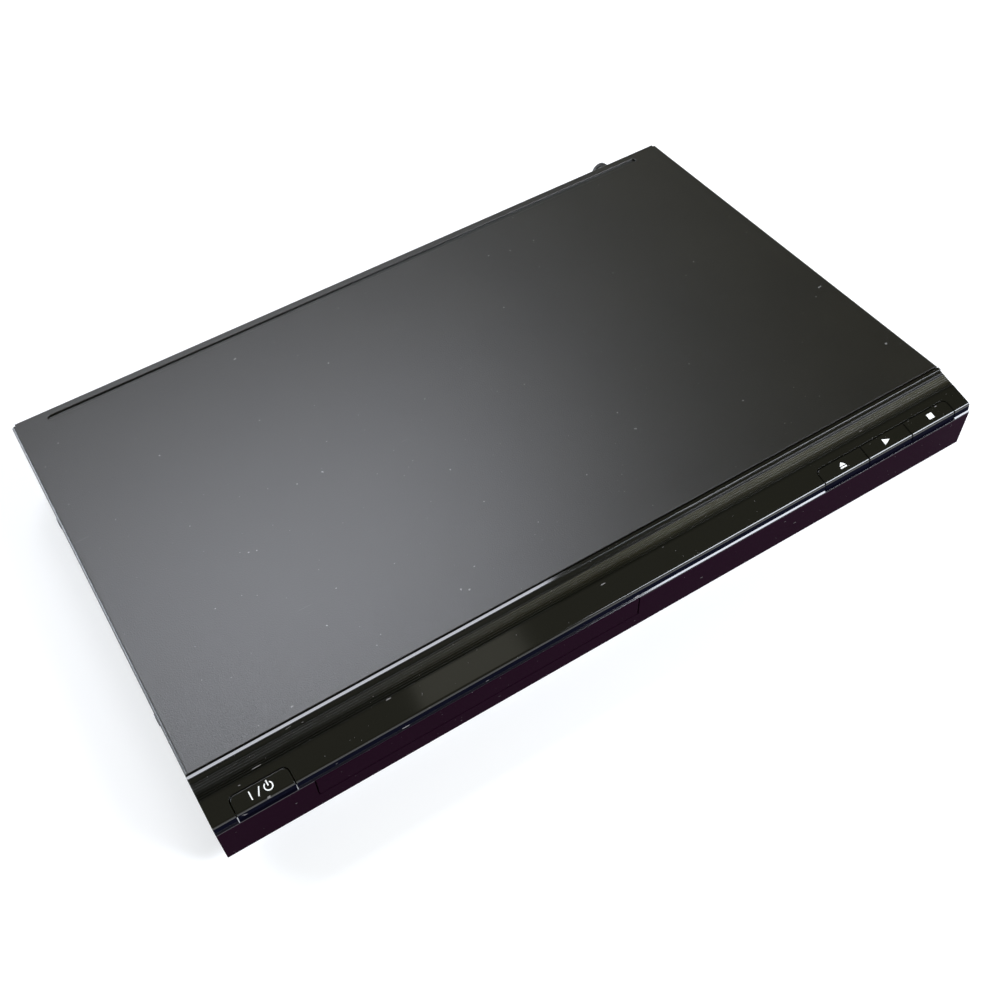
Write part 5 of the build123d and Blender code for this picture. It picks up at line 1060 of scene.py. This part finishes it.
# floor, light and camera
daylightLook = {"stops": [(0.0, (1.0, 1.0, 1.0)), (0.08, (0.86, 0.87, 0.87)), (0.22, (0.42, 0.41, 0.35)),
                          (0.42, (0.15, 0.140, 0.08)), (0.72, (0.11, 0.105, 0.06)), (0.9, (0.22, 0.215, 0.16)),
                          (1.0, (0.24, 0.235, 0.18))], "paleBelow": 0.06}


def daylight(look):
    # the room: pale near the horizon, warm and dim overhead, so that gloss black stays black. The camera, clear
    # parts and low mirror rays see it as white
    world = bpy.data.worlds.new("studio")
    scene.world = world
    world.use_nodes = True
    tree = Tree(world.node_tree)
    height = tree.split(tree.node("ShaderNodeTexCoord", output="Generated"))[2]
    sky = tree.node("ShaderNodeValToRGB", {"stops": look["stops"]}, {0: height})
    camera = tree.node("ShaderNodeLightPath", output="Is Camera Ray")
    glossy = camera.other("Is Glossy Ray") * (height < look["paleBelow"])
    seen = tree.larger(tree.larger(camera, camera.other("Is Transmission Ray")), glossy)
    sky = tree.node("ShaderNodeMix", {"data_type": "RGBA"}, {0: seen, 6: sky, 7: opaque((1.0, 1.0, 1.0))}, 2)
    tree.node("ShaderNodeOutputWorld", {}, {"Surface": tree.node("ShaderNodeBackground", {}, {"Color": sky})})


floorLook = {"colour": (0.6, 0.6, 0.6), "glow": 0.44, "farGlow": 1.0, "near": 0.5, "far": 1.6, "reach": 6.0}


def layFloor(look):
    # a pale floor that camera, glossy and transmission rays see as white, and that keeps the shadow
    finish = Finish("floor white")
    camera = finish.node("ShaderNodeLightPath", output="Is Camera Ray")
    seen = camera
    for ray in ("Is Glossy Ray", "Is Transmission Ray"):
        seen = finish.larger(seen, camera.other(ray))
    plain = finish.node("ShaderNodeBsdfDiffuse", {}, {"Color": opaque(look["colour"])})
    away = finish.node("ShaderNodeVectorMath", {"operation": "LENGTH"}, {0: finish.place}, "Value")
    strength = finish.between(away, look["near"], look["far"], look["glow"], look["farGlow"])
    glow = finish.node("ShaderNodeEmission", {}, {"Color": opaque((1.0, 1.0, 1.0)), "Strength": seen * strength})
    material = finish.close(finish.node("ShaderNodeAddShader", {}, {0: plain, 1: glow}))
    mesh = bmesh.new()
    reach = look["reach"]
    corners = ((-reach, -reach), (reach, -reach), (reach, reach), (-reach, reach))
    mesh.faces.new([mesh.verts.new((x, y, 0.0)) for x, y in corners])
    meshObject(mesh, "floor", material)


def addLamp(name, look):
    data = bpy.data.lights.new(name, "AREA")
    data.shape = "RECTANGLE"
    data.size, data.size_y = look["size"]
    data.energy = look["power"]
    data.color = look["colour"]
    lamp = added(name, data)
    lamp.location = look["place"]
    toward = Vector(look["aim"]) - Vector(look["place"])
    lamp.rotation_euler = toward.to_track_quat("-Z", "Y").to_euler()


lamps = {
    "sheen_lamp": {"place": (0.161, 1.433, 2.117), "aim": (0.0, 0.0, 0.03), "size": (1.23, 0.72), "power": 32.8,
                   "colour": (0.97, 1.0, 1.10)},
    "front_lamp": {"place": (0.85, -1.0, 0.96), "aim": (0.1, -0.1, 0.03), "size": (0.75, 0.70), "power": 34.0,
                   "colour": (0.92, 0.97, 1.06)},
    "window_lamp": {"place": (-1.2, 1.07, 0.6), "aim": (-0.16, 0.0, 0.03), "size": (0.8, 0.5), "power": 24.0,
                    "colour": (0.90, 0.97, 1.10)},
    "ceiling_lamp": {"place": (0.36, -0.07, 2.0), "aim": (0.36, -0.071, 0.0), "size": (0.24, 0.10), "power": 0.045,
                     "colour": (1.0, 0.98, 0.84)},
}
cameraLook = {"place": (-0.15204, -0.32050, 0.39345), "azimuth": 26.471, "elevation": 49.574, "roll": 6.556,
              "lens": 45.3665}


def setCamera(look):
    turn, drop, roll = radians(look["azimuth"]), radians(look["elevation"]), radians(look["roll"])
    ahead = Vector((sin(turn) * cos(drop), cos(turn) * cos(drop), -sin(drop)))
    right = Vector((cos(turn), -sin(turn), 0))
    down = ahead.cross(right)
    acrossFrame = cos(roll) * right + sin(roll) * down
    downFrame = -sin(roll) * right + cos(roll) * down
    data = bpy.data.cameras.new("camera")
    data.sensor_width = 36.0
    data.lens = look["lens"]
    data.clip_start = 0.01
    camera = added("camera", data)
    placed = Matrix((acrossFrame, -downFrame, -ahead)).transposed().to_4x4()
    placed.translation = look["place"]
    camera.matrix_world = placed
    scene.camera = camera


daylight(daylightLook)
layFloor(floorLook)
for lampName, lampLook in lamps.items():
    addLamp(lampName, lampLook)
setCamera(cameraLook)
scene.view_settings.view_transform = "Standard"
print("stage set")
